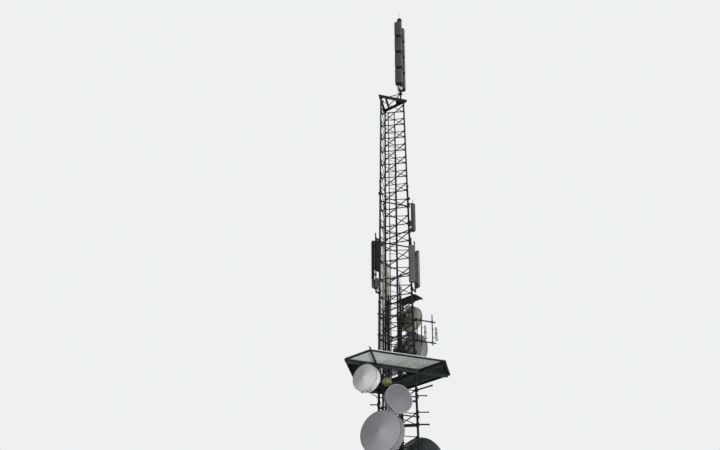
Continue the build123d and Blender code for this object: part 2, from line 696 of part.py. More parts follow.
def sector_panels(side):
    """The sector panels of one side."""
    panels = []
    for leg_angle, arm_bearing, reach, faces in SECTOR_PIPES[side]:
        pipe = sector_pipe_axis(leg_angle, arm_bearing, reach)
        panels += [sector_panel(pipe, bearing, height) for bearing, height in faces]
    return Compound(panels)


def sector_pipe(foot, leg_angle, arm_bearing, reach, faces):
    """Upright pipe with two arms from the leg and two links to the back of each panel."""
    axis = sector_pipe_axis(leg_angle, arm_bearing, reach)
    head = axis + Vector(0, 0, SECTOR_TOP + SECTOR_PIPE_ABOVE)
    pipe = bar_between(axis + Vector(0, 0, foot), head, SECTOR_PIPE_DIAMETER)
    for bearing, height in faces:
        for level in (SECTOR_TOP - SECTOR_LINK_INSET, SECTOR_TOP - height + SECTOR_LINK_INSET):
            start = axis + Vector(0, 0, level)
            end = start + heading(bearing) * (SECTOR_PIPE_TO_PANEL - SEAT)
            pipe += beam_between(start, end, SECTOR_ARM_WIDTH, SECTOR_ARM_HEIGHT)
    for level in (clear_level(SECTOR_TOP), clear_level(foot + SECTOR_LINK_INSET)):
        inner = leg_point(leg_angle, level)
        pipe += beam_between(inner, axis + Vector(0, 0, level), SECTOR_ARM_WIDTH, SECTOR_ARM_HEIGHT)
        pipe -= leg_envelope(leg_angle, level - SECTOR_ARM_HEIGHT, level + SECTOR_ARM_HEIGHT)
    return max(pipe.solids(), key=lambda solid: solid.volume)


def sector_pipes(side):
    """The sector pipes of one side."""
    foot = SECTOR_TOP - SECTOR_PIPE_BELOW[side]
    return Compound([sector_pipe(foot, *row) for row in SECTOR_PIPES[side]])


def radio_units():
    """Radio boxes on the lower end of the left sector pipe."""
    width, depth, height = RADIO_UNIT_SIZE
    leg_angle, arm_bearing, reach, _ = SECTOR_PIPES["left"][0]
    pipe = sector_pipe_axis(leg_angle, arm_bearing, reach)
    units = []
    for bearing in RADIO_UNIT_BEARINGS:
        place = pipe + heading(bearing) * (SECTOR_PIPE_DIAMETER / 2 + SEAT + depth / 2)
        middle = SECTOR_TOP - RADIO_UNIT_DROP - height / 2
        units.append(Pos(place.X, place.Y, middle) * Rot(0, 0, bearing) * Box(depth, width, height))
    return Compound(units)


def upper_ice_guard():
    """Framed guard plate on two beams beside the right face, built on the front face and turned."""
    top = PLATFORM_HEIGHT + GUARD_RISE
    inner = -face_offset(top - GUARD_THICKNESS / 2 - GUARD_BEAM, 0)
    sheet = Pos(GUARD_SHIFT, inner - GUARD_OUT / 2, top) * Box(GUARD_ALONG, GUARD_OUT, GUARD_THICKNESS)
    beam_y = inner - GUARD_BEAM / 2
    beam_z = top - GUARD_THICKNESS / 2 - GUARD_BEAM / 2
    half = HALF_FACE * circle_radius(top) + BAR_OVERHANG
    beam = Pos(0, beam_y, beam_z) * Box(2 * half, GUARD_BEAM, GUARD_BEAM)
    guard = sheet + beam
    for side in (-1, 1):
        place = GUARD_SHIFT + side * (GUARD_ALONG - GUARD_BEAM) / 2
        guard += Pos(place, inner - GUARD_OUT / 2, beam_z) * Box(GUARD_BEAM, GUARD_OUT, GUARD_BEAM)
    return Rot(0, 0, FACE_TURNS["right"]) * guard


def arm_offset():
    """Y of both side arm pipes, clear of the wider lower leg spacing."""
    return -face_offset(min(ARM_HEIGHTS) - ARM_DIAMETER / 2, ARM_DIAMETER / 2)


def arm_pole_y():
    """Y of the upright poles, which stand against the outer side of the arm pipes."""
    return arm_offset() - ARM_DIAMETER / 2 - SEAT - ARM_POLE_DIAMETER / 2


def side_arms():
    """Two level pipes across the front face, with two upright poles and a tie against them."""
    y = arm_offset()
    arms = []
    for height in ARM_HEIGHTS:
        arms.append(bar_between((ARM_LEFT, y, height), (ARM_RIGHT, y, height), ARM_DIAMETER))
    tie_ends = (ARM_DIAMETER, ARM_DIAMETER)
    poles = [(OUTER_POLE_X, OUTER_POLE_ENDS), (INNER_POLE_X, INNER_POLE_ENDS), (ARM_TIE_X, tie_ends)]
    for x, (below, above) in poles:
        foot = (x, arm_pole_y(), min(ARM_HEIGHTS) - below)
        head = (x, arm_pole_y(), max(ARM_HEIGHTS) + above)
        arms.append(bar_between(foot, head, ARM_POLE_DIAMETER))
    return Compound(arms)


def side_dipoles():
    """A dipole on two stand-offs at each upright pole."""
    dipoles = []
    for x in (OUTER_POLE_X, INNER_POLE_X):
        foot = Vector(x + DIPOLE_REACH, arm_pole_y(), min(ARM_HEIGHTS) + DIPOLE_FOOT_RISE)
        dipole = bar_between(foot, foot + Vector(0, 0, DIPOLE_LENGTH), DIPOLE_DIAMETER, THIN_BAR_SIDES)
        for rise in (STANDOFF_INSET, DIPOLE_LENGTH - STANDOFF_INSET):
            end = foot + Vector(0, 0, rise)
            start = end + Vector(ARM_POLE_DIAMETER / 2 + SEAT - DIPOLE_REACH, 0, 0)
            dipole += bar_between(start, end, STANDOFF_DIAMETER, THIN_BAR_SIDES)
        dipoles.append(dipole)
    return Compound(dipoles)


def platform_offset():
    """Distance from the tower axis to the middle line of a platform beam."""
    return face_offset(PLATFORM_HEIGHT - PLATFORM_BEAM_HEIGHT / 2, PLATFORM_BEAM_WIDTH / 2)


def platform_tips():
    """Tips of the three beams, in order round the platform."""
    tips = []
    for turn in FACE_TURNS.values():
        for side in (-1, 1):
            tips.append(Vector(side * PLATFORM_HALF_SPAN, -platform_offset(), 0).rotate(Axis.Z, turn))
    return sorted(tips, key=lambda tip: math.atan2(tip.Y, tip.X))


def platform_outline(inset):
    """Six-sided platform outline, whose corners are the tips of the three beams."""
    corners = Polygon(*[(tip.X, tip.Y) for tip in platform_tips()], align=None)
    return offset(corners, -inset, kind=Kind.INTERSECTION) if inset else corners


def platform_beams():
    """Three long beams outside the legs, fused where they cross."""
    length = 3 * PLATFORM_HALF_SPAN
    beams = Sketch()
    for turn in (0, 120, 240):
        beams += Rot(0, 0, turn) * Pos(0, -platform_offset()) * Rectangle(length, PLATFORM_BEAM_WIDTH)
    beams &= platform_outline(EDGE_WIDTH + SEAT)
    return Pos(0, 0, PLATFORM_HEIGHT) * extrude(beams, PLATFORM_BEAM_HEIGHT / 2, both=True)


def platform_frame():
    """Six mitred edge members that join the tips of the beams."""
    ring = platform_outline(0) - platform_outline(EDGE_WIDTH)
    tips = platform_tips()
    for number, tip in enumerate(tips):
        after = (tips[(number + 1) % len(tips)] - tip).normalized()
        before = (tips[number - 1] - tip).normalized()
        inward = tip + (after + before) * 2 * EDGE_WIDTH
        outward = tip - (after + before) * EDGE_WIDTH
        ring -= strip((outward.X, outward.Y), (inward.X, inward.Y), SEAT)
    top = PLATFORM_HEIGHT + PLATFORM_BEAM_HEIGHT / 2
    return Pos(0, 0, top - EDGE_HEIGHT) * extrude(ring, EDGE_HEIGHT)


def platform_deck(turn):
    """One of three equal grating panels: an edge band with bearers square to the face."""
    y_in = -platform_offset()
    crossing = platform_offset() * math.sqrt(3)
    tip = Vector(PLATFORM_HALF_SPAN, y_in, 0).rotate(Axis.Z, -120)
    near_left, near_right = (-PLATFORM_HALF_SPAN, y_in), (crossing, y_in)
    outer = Polygon(near_left, (tip.X, tip.Y), (-tip.X, tip.Y), near_right, align=None)
    outer = offset(outer, -DECK_JOINT, kind=Kind.INTERSECTION)
    inner = offset(outer, -DECK_BAND, kind=Kind.INTERSECTION)
    deck = outer - inner
    pitch = (PLATFORM_HALF_SPAN - tip.X) / DECK_BEARERS
    for number in range(1, DECK_BEARERS):
        x = -PLATFORM_HALF_SPAN + number * pitch
        deck += strip((x, tip.Y), (x, y_in), DECK_BEARER_WIDTH) & outer
    top = PLATFORM_HEIGHT + PLATFORM_BEAM_HEIGHT / 2 + SEAT
    return Rot(0, 0, turn) * Pos(0, 0, top) * extrude(deck, DECK_HEIGHT)


def dish(aperture, depth):
    """Drum dish that looks along +X from the origin: crowned radome, rim, drum, rounded back and hub."""
    radius = aperture / 2
    hub = radius * DISH_HUB_SHARE
    back = depth * DISH_BACK_SHARE
    shoulder = depth - back + back * DISH_SHOULDER_DEPTH
    stations = [
        (-depth - DISH_HUB_DEPTH, hub),
        (-depth, hub),
        (-shoulder, radius * DISH_SHOULDER_RADIUS),
        (back - depth, radius - DISH_RIM),
        (-DISH_RIM_HEIGHT, radius),
        (0, radius),
        (radius * DISH_RADOME_RISE, radius * DISH_CROWN_SHARE),
    ]
    return Rot(0, 90, 0) * stacked(stations, DISH_SIDES)


def dish_back(depth):
    """Distance from the face of a dish to the pipe that carries it."""
    return depth + DISH_HUB_DEPTH + SEAT + DISH_LINK


def placed_dish(pipe, aperture, depth, height, bearing):
    """A dish that faces along its bearing in front of its pipe."""
    face = pipe + heading(bearing) * dish_back(depth)
    return Pos(face.X, face.Y, height) * Rot(0, 0, bearing) * dish(aperture, depth)


def leg_pipe(height, leg_angle, arm_bearing, reach):
    """Axis of a dish pipe that stands off a leg."""
    axis = leg_point(leg_angle, height) + heading(arm_bearing) * reach
    return Vector(axis.X, axis.Y, 0)


def face_pipe(height, face, along):
    """Axis of a dish pipe that stands against level bars on a face."""
    off = face_offset(height - DISH_ARM_SPREAD / 2 - BAR_DIAMETER / 2, BAR_DIAMETER / 2)
    off += (BAR_DIAMETER + DISH_PIPE_DIAMETER) / 2 + SEAT
    return Vector(along, -off, 0).rotate(Axis.Z, FACE_TURNS[face])


def leg_levels(height):
    """Heights of the two arms of a dish mount on a leg, each between two nodes of the lacing."""
    return [clear_level(height + side * DISH_ARM_SPREAD / 2) for side in (-1, 1)]


def upright_pipe(pipe, levels, height, bearing):
    """Upright pipe behind a dish, with the link to its hub."""
    low, high = levels
    foot = pipe + Vector(0, 0, low - DISH_PIPE_OVERHANG)
    head = pipe + Vector(0, 0, high + DISH_PIPE_OVERHANG)
    start = pipe + Vector(0, 0, height)
    link = beam_between(start, start + heading(bearing) * DISH_LINK, DISH_LINK_WIDTH, DISH_LINK_HEIGHT)
    return bar_between(foot, head, DISH_PIPE_DIAMETER) + link


def leg_mount(height, bearing, leg_angle, arm_bearing, reach):
    """Dish pipe with two arms that meet a leg."""
    pipe = leg_pipe(height, leg_angle, arm_bearing, reach)
    levels = leg_levels(height)
    mount = upright_pipe(pipe, levels, height, bearing)
    for level in levels:
        start = pipe + Vector(0, 0, level)
        mount += beam_between(start, leg_point(leg_angle, level), DISH_ARM_SIZE, DISH_ARM_SIZE)
        mount -= leg_envelope(leg_angle, level - DISH_ARM_SIZE, level + DISH_ARM_SIZE)
    return max(mount.solids(), key=lambda solid: solid.volume)


def face_mount(height, bearing, face, along):
    """Dish pipe against two level bars across the legs of a face."""
    levels = [height - DISH_ARM_SPREAD / 2, height + DISH_ARM_SPREAD / 2]
    pipe = upright_pipe(face_pipe(height, face, along), levels, height, bearing)
    return [pipe] + [face_bar(FACE_TURNS[face], level) for level in levels]


def leg_dish_mounts():
    """The mounts of the dishes on legs."""
    pieces = []
    for _, _, _, rise, bearing, leg_angle, arm_bearing, reach in LEG_DISHES:
        pieces.append(leg_mount(PLATFORM_HEIGHT + rise, bearing, leg_angle, arm_bearing, reach))
    return Compound(pieces)


def face_dish_mounts():
    """The mounts of the dishes on faces."""
    pieces = []
    for _, _, _, rise, bearing, face, along in FACE_DISHES:
        pieces += face_mount(PLATFORM_HEIGHT + rise, bearing, face, along)
    return Compound(pieces)


def stub_arms():
    """Short level pipes with end caps on the legs below the platform."""
    arms = []
    for leg_angle, bearing, depth, length, diameter in STUB_ARMS:
        height = PLATFORM_HEIGHT - depth
        start = leg_point(leg_angle, height)
        end = start + heading(bearing) * length
        arm = bar_between(start, end, diameter)
        arm += bar_between(end, end + heading(bearing) * STUB_CAP, diameter + 2 * STUB_CAP)
        arm -= leg_envelope(leg_angle, height - diameter, height + diameter)
        arms.append(max(arm.solids(), key=lambda solid: solid.volume))
    return Compound(arms)


def trunk_pieces():
    """Legs, feet, bracing, ladder and cable runs by name."""
    pieces = {
        "leg_front_left": leg(FRONT_LEFT),
        "leg_front_right": leg(FRONT_RIGHT),
        "leg_rear": leg(REAR),
        "base_plates": Compound([base_plate(angle) for angle in (FRONT_LEFT, FRONT_RIGHT, REAR)]),
        "climbing_ladder": climbing_ladder(),
        "cable_bundle": cable_bundle(),
        "feeder_cables_left": Rot(0, 0, FACE_TURNS["left"]) * feeders(FEEDERS_LEFT),
        "feeder_cables_right": Rot(0, 0, FACE_TURNS["right"]) * feeders(FEEDERS_RIGHT),
    }
    for section in range(len(LACING_BARS)):
        lattice = bracing(section)
        for face, turn in FACE_TURNS.items():
            pieces[f"bracing_{face}_{section + 1}"] = Rot(0, 0, turn) * lattice
    return pieces


def head_pieces():
    """Head frame, pole and what stands on it by name."""
    return {
        "head_frame": head_frame(),
        "corner_plate": corner_plate(),
        "antenna_pole": antenna_pole(),
        "pole_struts": pole_struts(),
        "broadcast_panels_front": broadcast_panels(PANEL_BEARING),
        "broadcast_panels_rear": broadcast_panels(PANEL_BEARING - 180),
        "broadcast_brackets": broadcast_brackets(),
        "beacon_light": beacon(),
        "lightning_rod": lightning_rod(),
    }


def side_pieces():
    """What the legs carry between the head and the platform by name."""
    return {
        "leg_clamps": leg_clamps(),
        "mounting_bars": mounting_bars(),
        "upper_antenna": upper_antenna(),
        "upper_antenna_arms": upper_antenna_arms(),
        "sector_panels_right": sector_panels("right"),
        "sector_pipes_right": sector_pipes("right"),
        "sector_panels_left": sector_panels("left"),
        "sector_pipes_left": sector_pipes("left"),
        "radio_units": radio_units(),
        "upper_ice_guard": upper_ice_guard(),
        "side_arms": side_arms(),
        "side_dipoles": side_dipoles(),
        "stub_arms": stub_arms(),
    }


def platform_pieces():
    """Platform beams, edge and grating panels by name."""
    pieces = {"platform_beams": platform_beams(), "platform_frame": platform_frame()}
    for face, turn in FACE_TURNS.items():
        pieces[f"platform_deck_{face}"] = platform_deck(turn)
    return pieces


def dish_pieces():
    """Dishes and their mounts by name."""
    pieces = {"leg_dish_mounts": leg_dish_mounts(), "face_dish_mounts": face_dish_mounts()}
    for name, aperture, depth, rise, bearing, leg_angle, arm_bearing, reach in LEG_DISHES:
        height = PLATFORM_HEIGHT + rise
        pipe = leg_pipe(height, leg_angle, arm_bearing, reach)
        pieces[name] = placed_dish(pipe, aperture, depth, height, bearing)
    for name, aperture, depth, rise, bearing, face, along in FACE_DISHES:
        height = PLATFORM_HEIGHT + rise
        pipe = face_pipe(height, face, along)
        pieces[name] = placed_dish(pipe, aperture, depth, height, bearing)
    return pieces


os.makedirs("parts", exist_ok=True)
for group in (trunk_pieces(), head_pieces(), side_pieces(), platform_pieces(), dish_pieces()):
    for name, shape in group.items():
        export_step(ORIGIN_SHIFT * shape, f"parts/{name}.step")
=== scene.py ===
"""Looks of a lattice telecommunications tower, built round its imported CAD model.

Every sub-assembly is a class that holds its sizes in metres and builds its own pieces. Points are worked out
about the tower axis and moved once, when the mesh is made, so that the origin is under the front left leg.
"""
import logging
import math
from collections.abc import Sequence
from dataclasses import dataclass
from enum import Enum

import bpy
import numpy as np
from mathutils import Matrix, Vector


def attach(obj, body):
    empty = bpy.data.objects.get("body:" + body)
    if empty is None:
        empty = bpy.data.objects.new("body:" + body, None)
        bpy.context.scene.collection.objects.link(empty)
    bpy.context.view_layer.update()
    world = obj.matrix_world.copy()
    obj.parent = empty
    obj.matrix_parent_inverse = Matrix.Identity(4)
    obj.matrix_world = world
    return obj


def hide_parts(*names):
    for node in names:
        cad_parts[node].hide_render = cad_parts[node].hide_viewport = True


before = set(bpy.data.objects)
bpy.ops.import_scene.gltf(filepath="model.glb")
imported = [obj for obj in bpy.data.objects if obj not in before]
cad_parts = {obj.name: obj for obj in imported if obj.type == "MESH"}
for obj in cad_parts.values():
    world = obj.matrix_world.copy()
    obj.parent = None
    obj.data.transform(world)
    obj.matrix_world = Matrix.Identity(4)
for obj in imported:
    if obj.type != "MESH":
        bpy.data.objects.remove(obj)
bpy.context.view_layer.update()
log = logging.getLogger("tower")

Array = np.ndarray
Tree, Socket = bpy.types.NodeTree, bpy.types.NodeSocket
UP = np.array((0.0, 0.0, 1.0))
LEVEL = np.array((1.0, 1.0, 0.0))
HALF_FACE = math.sqrt(3) / 2
CREASE = 35.0
FOOT_RADIUS = 1.362
LEFT_LEG, RIGHT_LEG, REAR_LEG = 210.0, 330.0, 90.0
FRONT_FACE, RIGHT_FACE, LEFT_FACE = 0.0, 120.0, 240.0
# Outer diameters of stock pipes, and the gap by which pieces seat on each other
ARM_PIPE, POLE_PIPE, MAST_PIPE, DISH_PIPE, SEAT = 0.0603, 0.0483, 0.0761, 0.0889, 0.0003


class Slot(str, Enum):
    """Names of the record's material slots."""

    DARK_STEEL = "dark_steel"
    BRACKET_STEEL = "bracket_steel"
    LADDER_STEEL = "ladder_steel"
    GRATING = "grating_steel"
    PANEL_DARK = "panel_dark"
    PANEL_GREY = "panel_grey"
    PANEL_BLACK = "panel_black"
    RADIO = "radio_grey"
    CABLE_GREY = "cable_grey"
    CABLE_BLACK = "cable_black"
    BEACON = "beacon_cover"
    DISH_WHITE = "dish_white"
    DISH_OLIVE = "dish_olive"


# ---------------------------------------------------------------- finishes


def linear(code: str) -> tuple[float, float, float, float]:
    """Turns an sRGB hex colour to linear red, green, blue and an alpha of 1."""
    parts = (int(code[i:i + 2], 16) / 255 for i in (1, 3, 5))
    return *(c / 12.92 if c <= 0.04045 else ((c + 0.055) / 1.055) ** 2.4 for c in parts), 1.0


def add_node(tree: Tree, kind: str, inputs: dict | None = None, **settings) -> bpy.types.Node:
    """Adds a shader node, sets its properties, and sets or links its inputs.

    Args:
        tree: node tree that gets the node.
        kind: Blender's identifier of the node.
        inputs: value or output socket for each input, by name or number.
        **settings: properties of the node itself.

    Returns:
        The new node.
    """
    node = tree.nodes.new(kind)
    for name, value in settings.items():
        setattr(node, name, value)
    for name, value in (inputs or {}).items():
        if isinstance(value, Socket):
            tree.links.new(value, node.inputs[name])
        else:
            node.inputs[name].default_value = value
    return node


@dataclass(frozen=True)
class Finish:
    """Weathered surface: a base colour with broad mottling, fine grain, rain streaks and a small relief.

    Sizes are in metres. Each kind of finish below sets these for its real material.
    """

    name: str
    base: str
    light: str
    dirt: str
    roughness: tuple[float, float] = (0.5, 0.7)
    metallic: float = 0.0
    mottle: float = 0.3
    grain: float = 0.02
    streak: float = 0.04
    streak_share: float = 0.45
    relief: float = 0.0006
    coat: float = 0.0
    specular: float = 0.5
    run_stretch: float = 0.06
    run_edge: float = 0.2
    run_strength: float = 0.75
    specks: tuple[float, float] = (0.86, 1.1)
    relief_strength: float = 0.6

    def build(self) -> bpy.types.Material:
        """Makes the material, or finds it if it is there.

        Returns:
            The procedural material, in Object coordinates.
        """
        if known := bpy.data.materials.get(self.name):
            return known
        material = bpy.data.materials.new(self.name)
        material.use_nodes = True
        tree = material.node_tree
        shader = tree.nodes["Principled BSDF"]
        place = add_node(tree, "ShaderNodeTexCoord").outputs["Object"]
        broad = self.noise(tree, place, self.mottle, 3.0)
        fine = self.noise(tree, place, self.grain, 5.0)
        stretched = add_node(tree, "ShaderNodeMapping", {"Vector": place, "Scale": (1.0, 1.0, self.run_stretch)})
        runs = self.noise(tree, stretched.outputs[0], self.streak, 4.0)
        colour = self.blend(tree, broad, (0.35, 0.65), linear(self.base), linear(self.light))
        specks = self.blend(tree, fine, (0.25, 0.75), *((grey, grey, grey, 1.0) for grey in self.specks))
        mixed = add_node(tree, "ShaderNodeMix", {0: 1.0, 6: colour, 7: specks}, data_type="RGBA",
                         blend_type="MULTIPLY")
        edge = 1.0 - self.streak_share
        mask = add_node(tree, "ShaderNodeMapRange", {"Value": runs, "From Min": edge, "From Max": edge + self.run_edge,
                                                     "To Max": self.run_strength})
        final = add_node(tree, "ShaderNodeMix", {0: mask.outputs[0], 6: mixed.outputs[2], 7: linear(self.dirt)},
                         data_type="RGBA")
        low, high = self.roughness
        rough = add_node(tree, "ShaderNodeMapRange", {"Value": fine, "To Min": low, "To Max": high})
        bump = add_node(tree, "ShaderNodeBump", {"Height": fine, "Distance": self.relief,
                                               "Strength": self.relief_strength})
        for output, name in ((final.outputs[2], "Base Color"), (rough.outputs[0], "Roughness"),
                             (bump.outputs[0], "Normal")):
            tree.links.new(output, shader.inputs[name])
        for name, value in (("Metallic", self.metallic), ("Coat Weight", self.coat),
                            ("Specular IOR Level", self.specular)):
            shader.inputs[name].default_value = value
        self.extra(tree, shader, place)
        return material

    def noise(self, tree: Tree, place: Socket, size: float, detail: float) -> Socket:
        """Noise from 0 to 1 whose features are about a size in metres, with a number of finer octaves."""
        return add_node(tree, "ShaderNodeTexNoise", {"Vector": place, "Scale": 1.0 / size, "Detail": detail,
                                                     "Roughness": 0.6}).outputs[0]

    def blend(self, tree: Tree, value: Socket, stops: tuple[float, float], first: tuple, second: tuple) -> Socket:
        """Colour that passes from one to another as a value rises.

        Args:
            tree: the material's nodes.
            value: driving value.
            stops: values at which the first colour ends and the second begins.
            first: colour below.
            second: colour above.

        Returns:
            The colour.
        """
        ramp = add_node(tree, "ShaderNodeValToRGB", {"Fac": value})
        for stop, place, colour in zip(ramp.color_ramp.elements, stops, (first, second)):
            stop.position, stop.color = place, colour
        return ramp.outputs[0]

    def extra(self, tree: Tree, shader: bpy.types.Node, place: Socket) -> None:
        """Adds what only one kind of finish has."""


@dataclass(frozen=True)
class DrumPaint(Finish):
    """Baked polyester paint on spun aluminium drums: nearly even, with long rain streaks."""

    roughness: tuple[float, float] = (0.45, 0.6)
    mottle: float = 0.6
    grain: float = 0.012
    streak: float = 0.05
    streak_share: float = 0.42
    relief: float = 0.0004


@dataclass(frozen=True)
class FabricRadome(Finish):
    """Coated polyester fabric stretched over a dish: a faint square weave over the weathered coating."""

    roughness: tuple[float, float] = (0.5, 0.65)
    mottle: float = 0.9
    grain: float = 0.01
    streak: float = 0.06
    streak_share: float = 0.34
    relief: float = 0.0004
    weave: float = 0.012
    thread_relief: float = 0.0003

    def extra(self, tree: Tree, shader: bpy.types.Node, place: Socket) -> None:
        """Adds the weave, drawn coarser than its real 1 mm thread so that it shows at all.

        Args:
            tree: the material's nodes.
            shader: the material's surface.
            place: Object coordinates.
        """
        waves = [add_node(tree, "ShaderNodeTexWave", {"Vector": place, "Scale": 1.0 / self.weave},
                          bands_direction=axis).outputs[1] for axis in ("DIAGONAL", "Z")]
        both = add_node(tree, "ShaderNodeMath", {0: waves[0], 1: waves[1]}, operation="ADD")
        bump = add_node(tree, "ShaderNodeBump", {"Height": both.outputs[0], "Distance": self.thread_relief,
                                                 "Strength": 0.25})
        tree.links.new(shader.inputs["Normal"].links[0].from_socket, bump.inputs["Normal"])
        tree.links.new(bump.outputs[0], shader.inputs["Normal"])


# Alkyd paint over galvanised steel, near black: partly dark paint, partly painted shade of the backlit steel; dull,
# with rust brown runs below the joints
STEEL = Finish("painted_steel_dark", "#0f1213", "#181c1d", "#231a15", (0.6, 0.85), 0.0, 0.5, 0.018, 0.05, 0.36,
               specular=0.2)
# Hot dip galvanised brackets and pipes, in a dark zinc grey that is partly weathering and partly painted shade of the
# backlit steel, with a slight metal sheen
ZINC = Finish("galvanised_steel_weathered", "#1d2123", "#2c3133", "#1f1b18", (0.5, 0.7), 0.3, 0.12, 0.012, 0.03, 0.38,
              specular=0.25)
# Galvanised bar grating, near black: partly dirt, partly painted shade of the unlit decks, ladder and guard; dull, its
# bars' edges hardly paler
GRATING = Finish("galvanised_grating_dark", "#0d0f10", "#14171a", "#1d1916", (0.6, 0.8), 0.1, 0.35, 0.015, 0.05, 0.4,
                 specular=0.2)
# Bar grating of the front panel, pale and dull: its paleness is painted light of its lit underside
GRATING_PAINTED_LIGHT = Finish("grating_painted_light", "#c6cac6", "#d6dad6", "#9d9f99", (0.5, 0.7), 0.0, 0.5, 0.02, 0.05, 0.4)
# Stainless fasteners, duller than new
FASTENER = Finish("stainless_fasteners", "#5a5e60", "#767b7d", "#3a3733", (0.3, 0.45), 0.9, 0.05, 0.01, 0.02, 0.3)
# Glass fibre broadcast radomes, grey, chalked by the sun, with soot under each seam
RADOME_DARK = Finish("glassfibre_radome_dark", "#40423e", "#4b4d48", "#2f302d", (0.55, 0.7), 0.0, 0.4, 0.01, 0.035,
                     0.38, 0.0004, specular=0.25)
# Glass fibre sector radomes, mid grey and chalky, with darker runs
RADOME_GREY = Finish("glassfibre_radome_grey", "#494b4a", "#555755", "#3a3b38", (0.5, 0.65), 0.0, 0.35, 0.01, 0.03,
                     0.36, 0.0004, specular=0.3)
# PVC radomes, near black
RADOME_BLACK = Finish("pvc_radome_black", "#0b0c0f", "#101215", "#0e0f10", (0.55, 0.7), 0.0, 0.35, 0.01, 0.03, 0.4,
                      0.0004, specular=0.15)
# ASA plastic of pale seam strips and splitter boxes, yellowed a little; on the right sector panels the pale strips and
# back plate are painted highlight of their sunlit sides
RADOME_PALE = Finish("asa_plastic_pale", "#9fa19b", "#b3b5af", "#6b6a63", (0.45, 0.6), 0.0, 0.2, 0.01, 0.03, 0.36)
# Powder coat on die cast radio housings, with the fine orange peel of its baking
RADIO = Finish("powder_coated_housing", "#565854", "#656763", "#3d3c38", (0.5, 0.65), 0.0, 0.15, 0.006, 0.03, 0.4,
               0.0005)
# Faded polyethylene jackets: beige grey with a chalky bloom
JACKET_GREY = Finish("polyethylene_jacket_faded", "#8d897c", "#a39e8f", "#5a5549", (0.55, 0.75), 0.0, 0.6, 0.01, 0.02,
                     0.42)
# Black polyethylene jackets with a low sheen
JACKET_BLACK = Finish("polyethylene_jacket_black", "#101214", "#191c1f", "#211f1c", (0.5, 0.7), 0.0, 0.6, 0.01, 0.02,
                      0.3, specular=0.2)
# Red polycarbonate lens, dulled by dust
LENS = Finish("polycarbonate_lens", "#24100e", "#2c1512", "#180e0c", (0.35, 0.5), 0.0, 0.1, 0.01, 0.02, 0.35, 0.0003,
              0.5)
# White polyester paint on spun aluminium drums, with grey rain streaks
DRUM_WHITE = DrumPaint("painted_aluminium_drum", "#a9acae", "#bcbfc0", "#77786f", (0.4, 0.55), streak_share=0.4)
# The same paint in mid grey, its streaks brownish: the grey is partly painted shade of shells turned from the light
DRUM_GREY_PAINTED_SHADE = DrumPaint("painted_aluminium_drum_grey_painted_shade", "#606264", "#6e7072", "#48483f")
# The same paint in a dark olive grey: painted shade of the upper right dish's back
DRUM_OLIVE_PAINTED_SHADE = DrumPaint("painted_aluminium_drum_olive_painted_shade", "#6e6f63", "#7d7e72", "#4b4b3e", mottle=0.5)
# The same paint in pale grey, nearly even
DRUM_PALE = DrumPaint("painted_aluminium_drum_pale", "#8f9194", "#9fa1a3", "#6c6c66")
# The same paint made dark, almost without shine: painted shade of the rear right dish
DRUM_DARK_PAINTED_SHADE = DrumPaint("painted_aluminium_drum_dark_painted_shade", "#2d3133", "#393d3f", "#23221f", (0.5, 0.65), specular=0.25)
# Coated polyester fabric, clean and nearly white, with faint grey runs
FABRIC_WHITE = FabricRadome("coated_fabric_radome_white", "#e4e4e2", "#ededeb", "#97978f", mottle=0.7)
# The same fabric in an even grey: partly dust, partly painted shade of dish faces turned from the light
FABRIC_GREY_PAINTED_SHADE = FabricRadome("coated_fabric_radome_grey_painted_shade", "#a5a7aa", "#adaeb1", "#949590")
# The same fabric in a dull mid grey, without bright spots: painted shade, set dark for the middle dish whose face takes
# strong light
FABRIC_DULL_PAINTED_SHADE = FabricRadome("coated_fabric_radome_dull_painted_shade", "#606167", "#67686d", "#565759")
# The same fabric in olive green, mottled where its coating wore
FABRIC_OLIVE = FabricRadome("coated_fabric_radome_olive", "#62673a", "#717648", "#44472a", mottle=0.2, streak=0.03,
                            streak_share=0.36)


# ---------------------------------------------------------------- surfaces


def heading(angle: float) -> Array:
    """Level unit vector at an angle in degrees from +X."""
    turn = math.radians(angle)
    return np.array((math.cos(turn), math.sin(turn), 0.0))


# Directions along the front face, into the trunk, and out of the front face
X, Y, FRONT = heading(0), heading(90), heading(270)


def axes(bearing: float) -> tuple[Array, Array]:
    """Level unit vectors at a bearing in degrees and a quarter turn on from it."""
    return heading(bearing), heading(bearing + 90)


def turned(points: Array | Sequence, angle: float) -> Array:
    """Turns points about the tower axis by an angle in degrees."""
    x, y = heading(angle)[:2]
    return np.asarray(points) @ np.array(((x, y, 0.0), (-y, x, 0.0), (0.0, 0.0, 1.0)))


def unit(vectors: Array | Sequence) -> Array:
    """Scales vectors to length 1."""
    vectors = np.asarray(vectors, dtype=float)
    return vectors / np.linalg.norm(vectors, axis=-1, keepdims=True)


def square(run: Array, up: Array) -> tuple[Array, Array]:
    """Two directions square to runs: up without its part along the run, and the one that ends a right handed set."""
    first = unit(up - run * np.sum(run * up, axis=-1, keepdims=True))
    return first, np.cross(run, first)


def laid(first: Array, second: Array, outline: Array) -> Array:
    """Outlines in pairs of directions: point = first * x + second * y, by pair and corner."""
    return first[:, None] * outline[None, :, :1] + second[:, None] * outline[None, :, 1:]


def disc(radius: float, sides: int = 12) -> Array:
    """Circle of a number of corners: radius * (cos, sin), with the middle of a flat at +x."""
    turn = (np.arange(sides) + 0.5) * 2 * np.pi / sides
    return np.stack((np.cos(turn), np.sin(turn)), axis=1) * radius


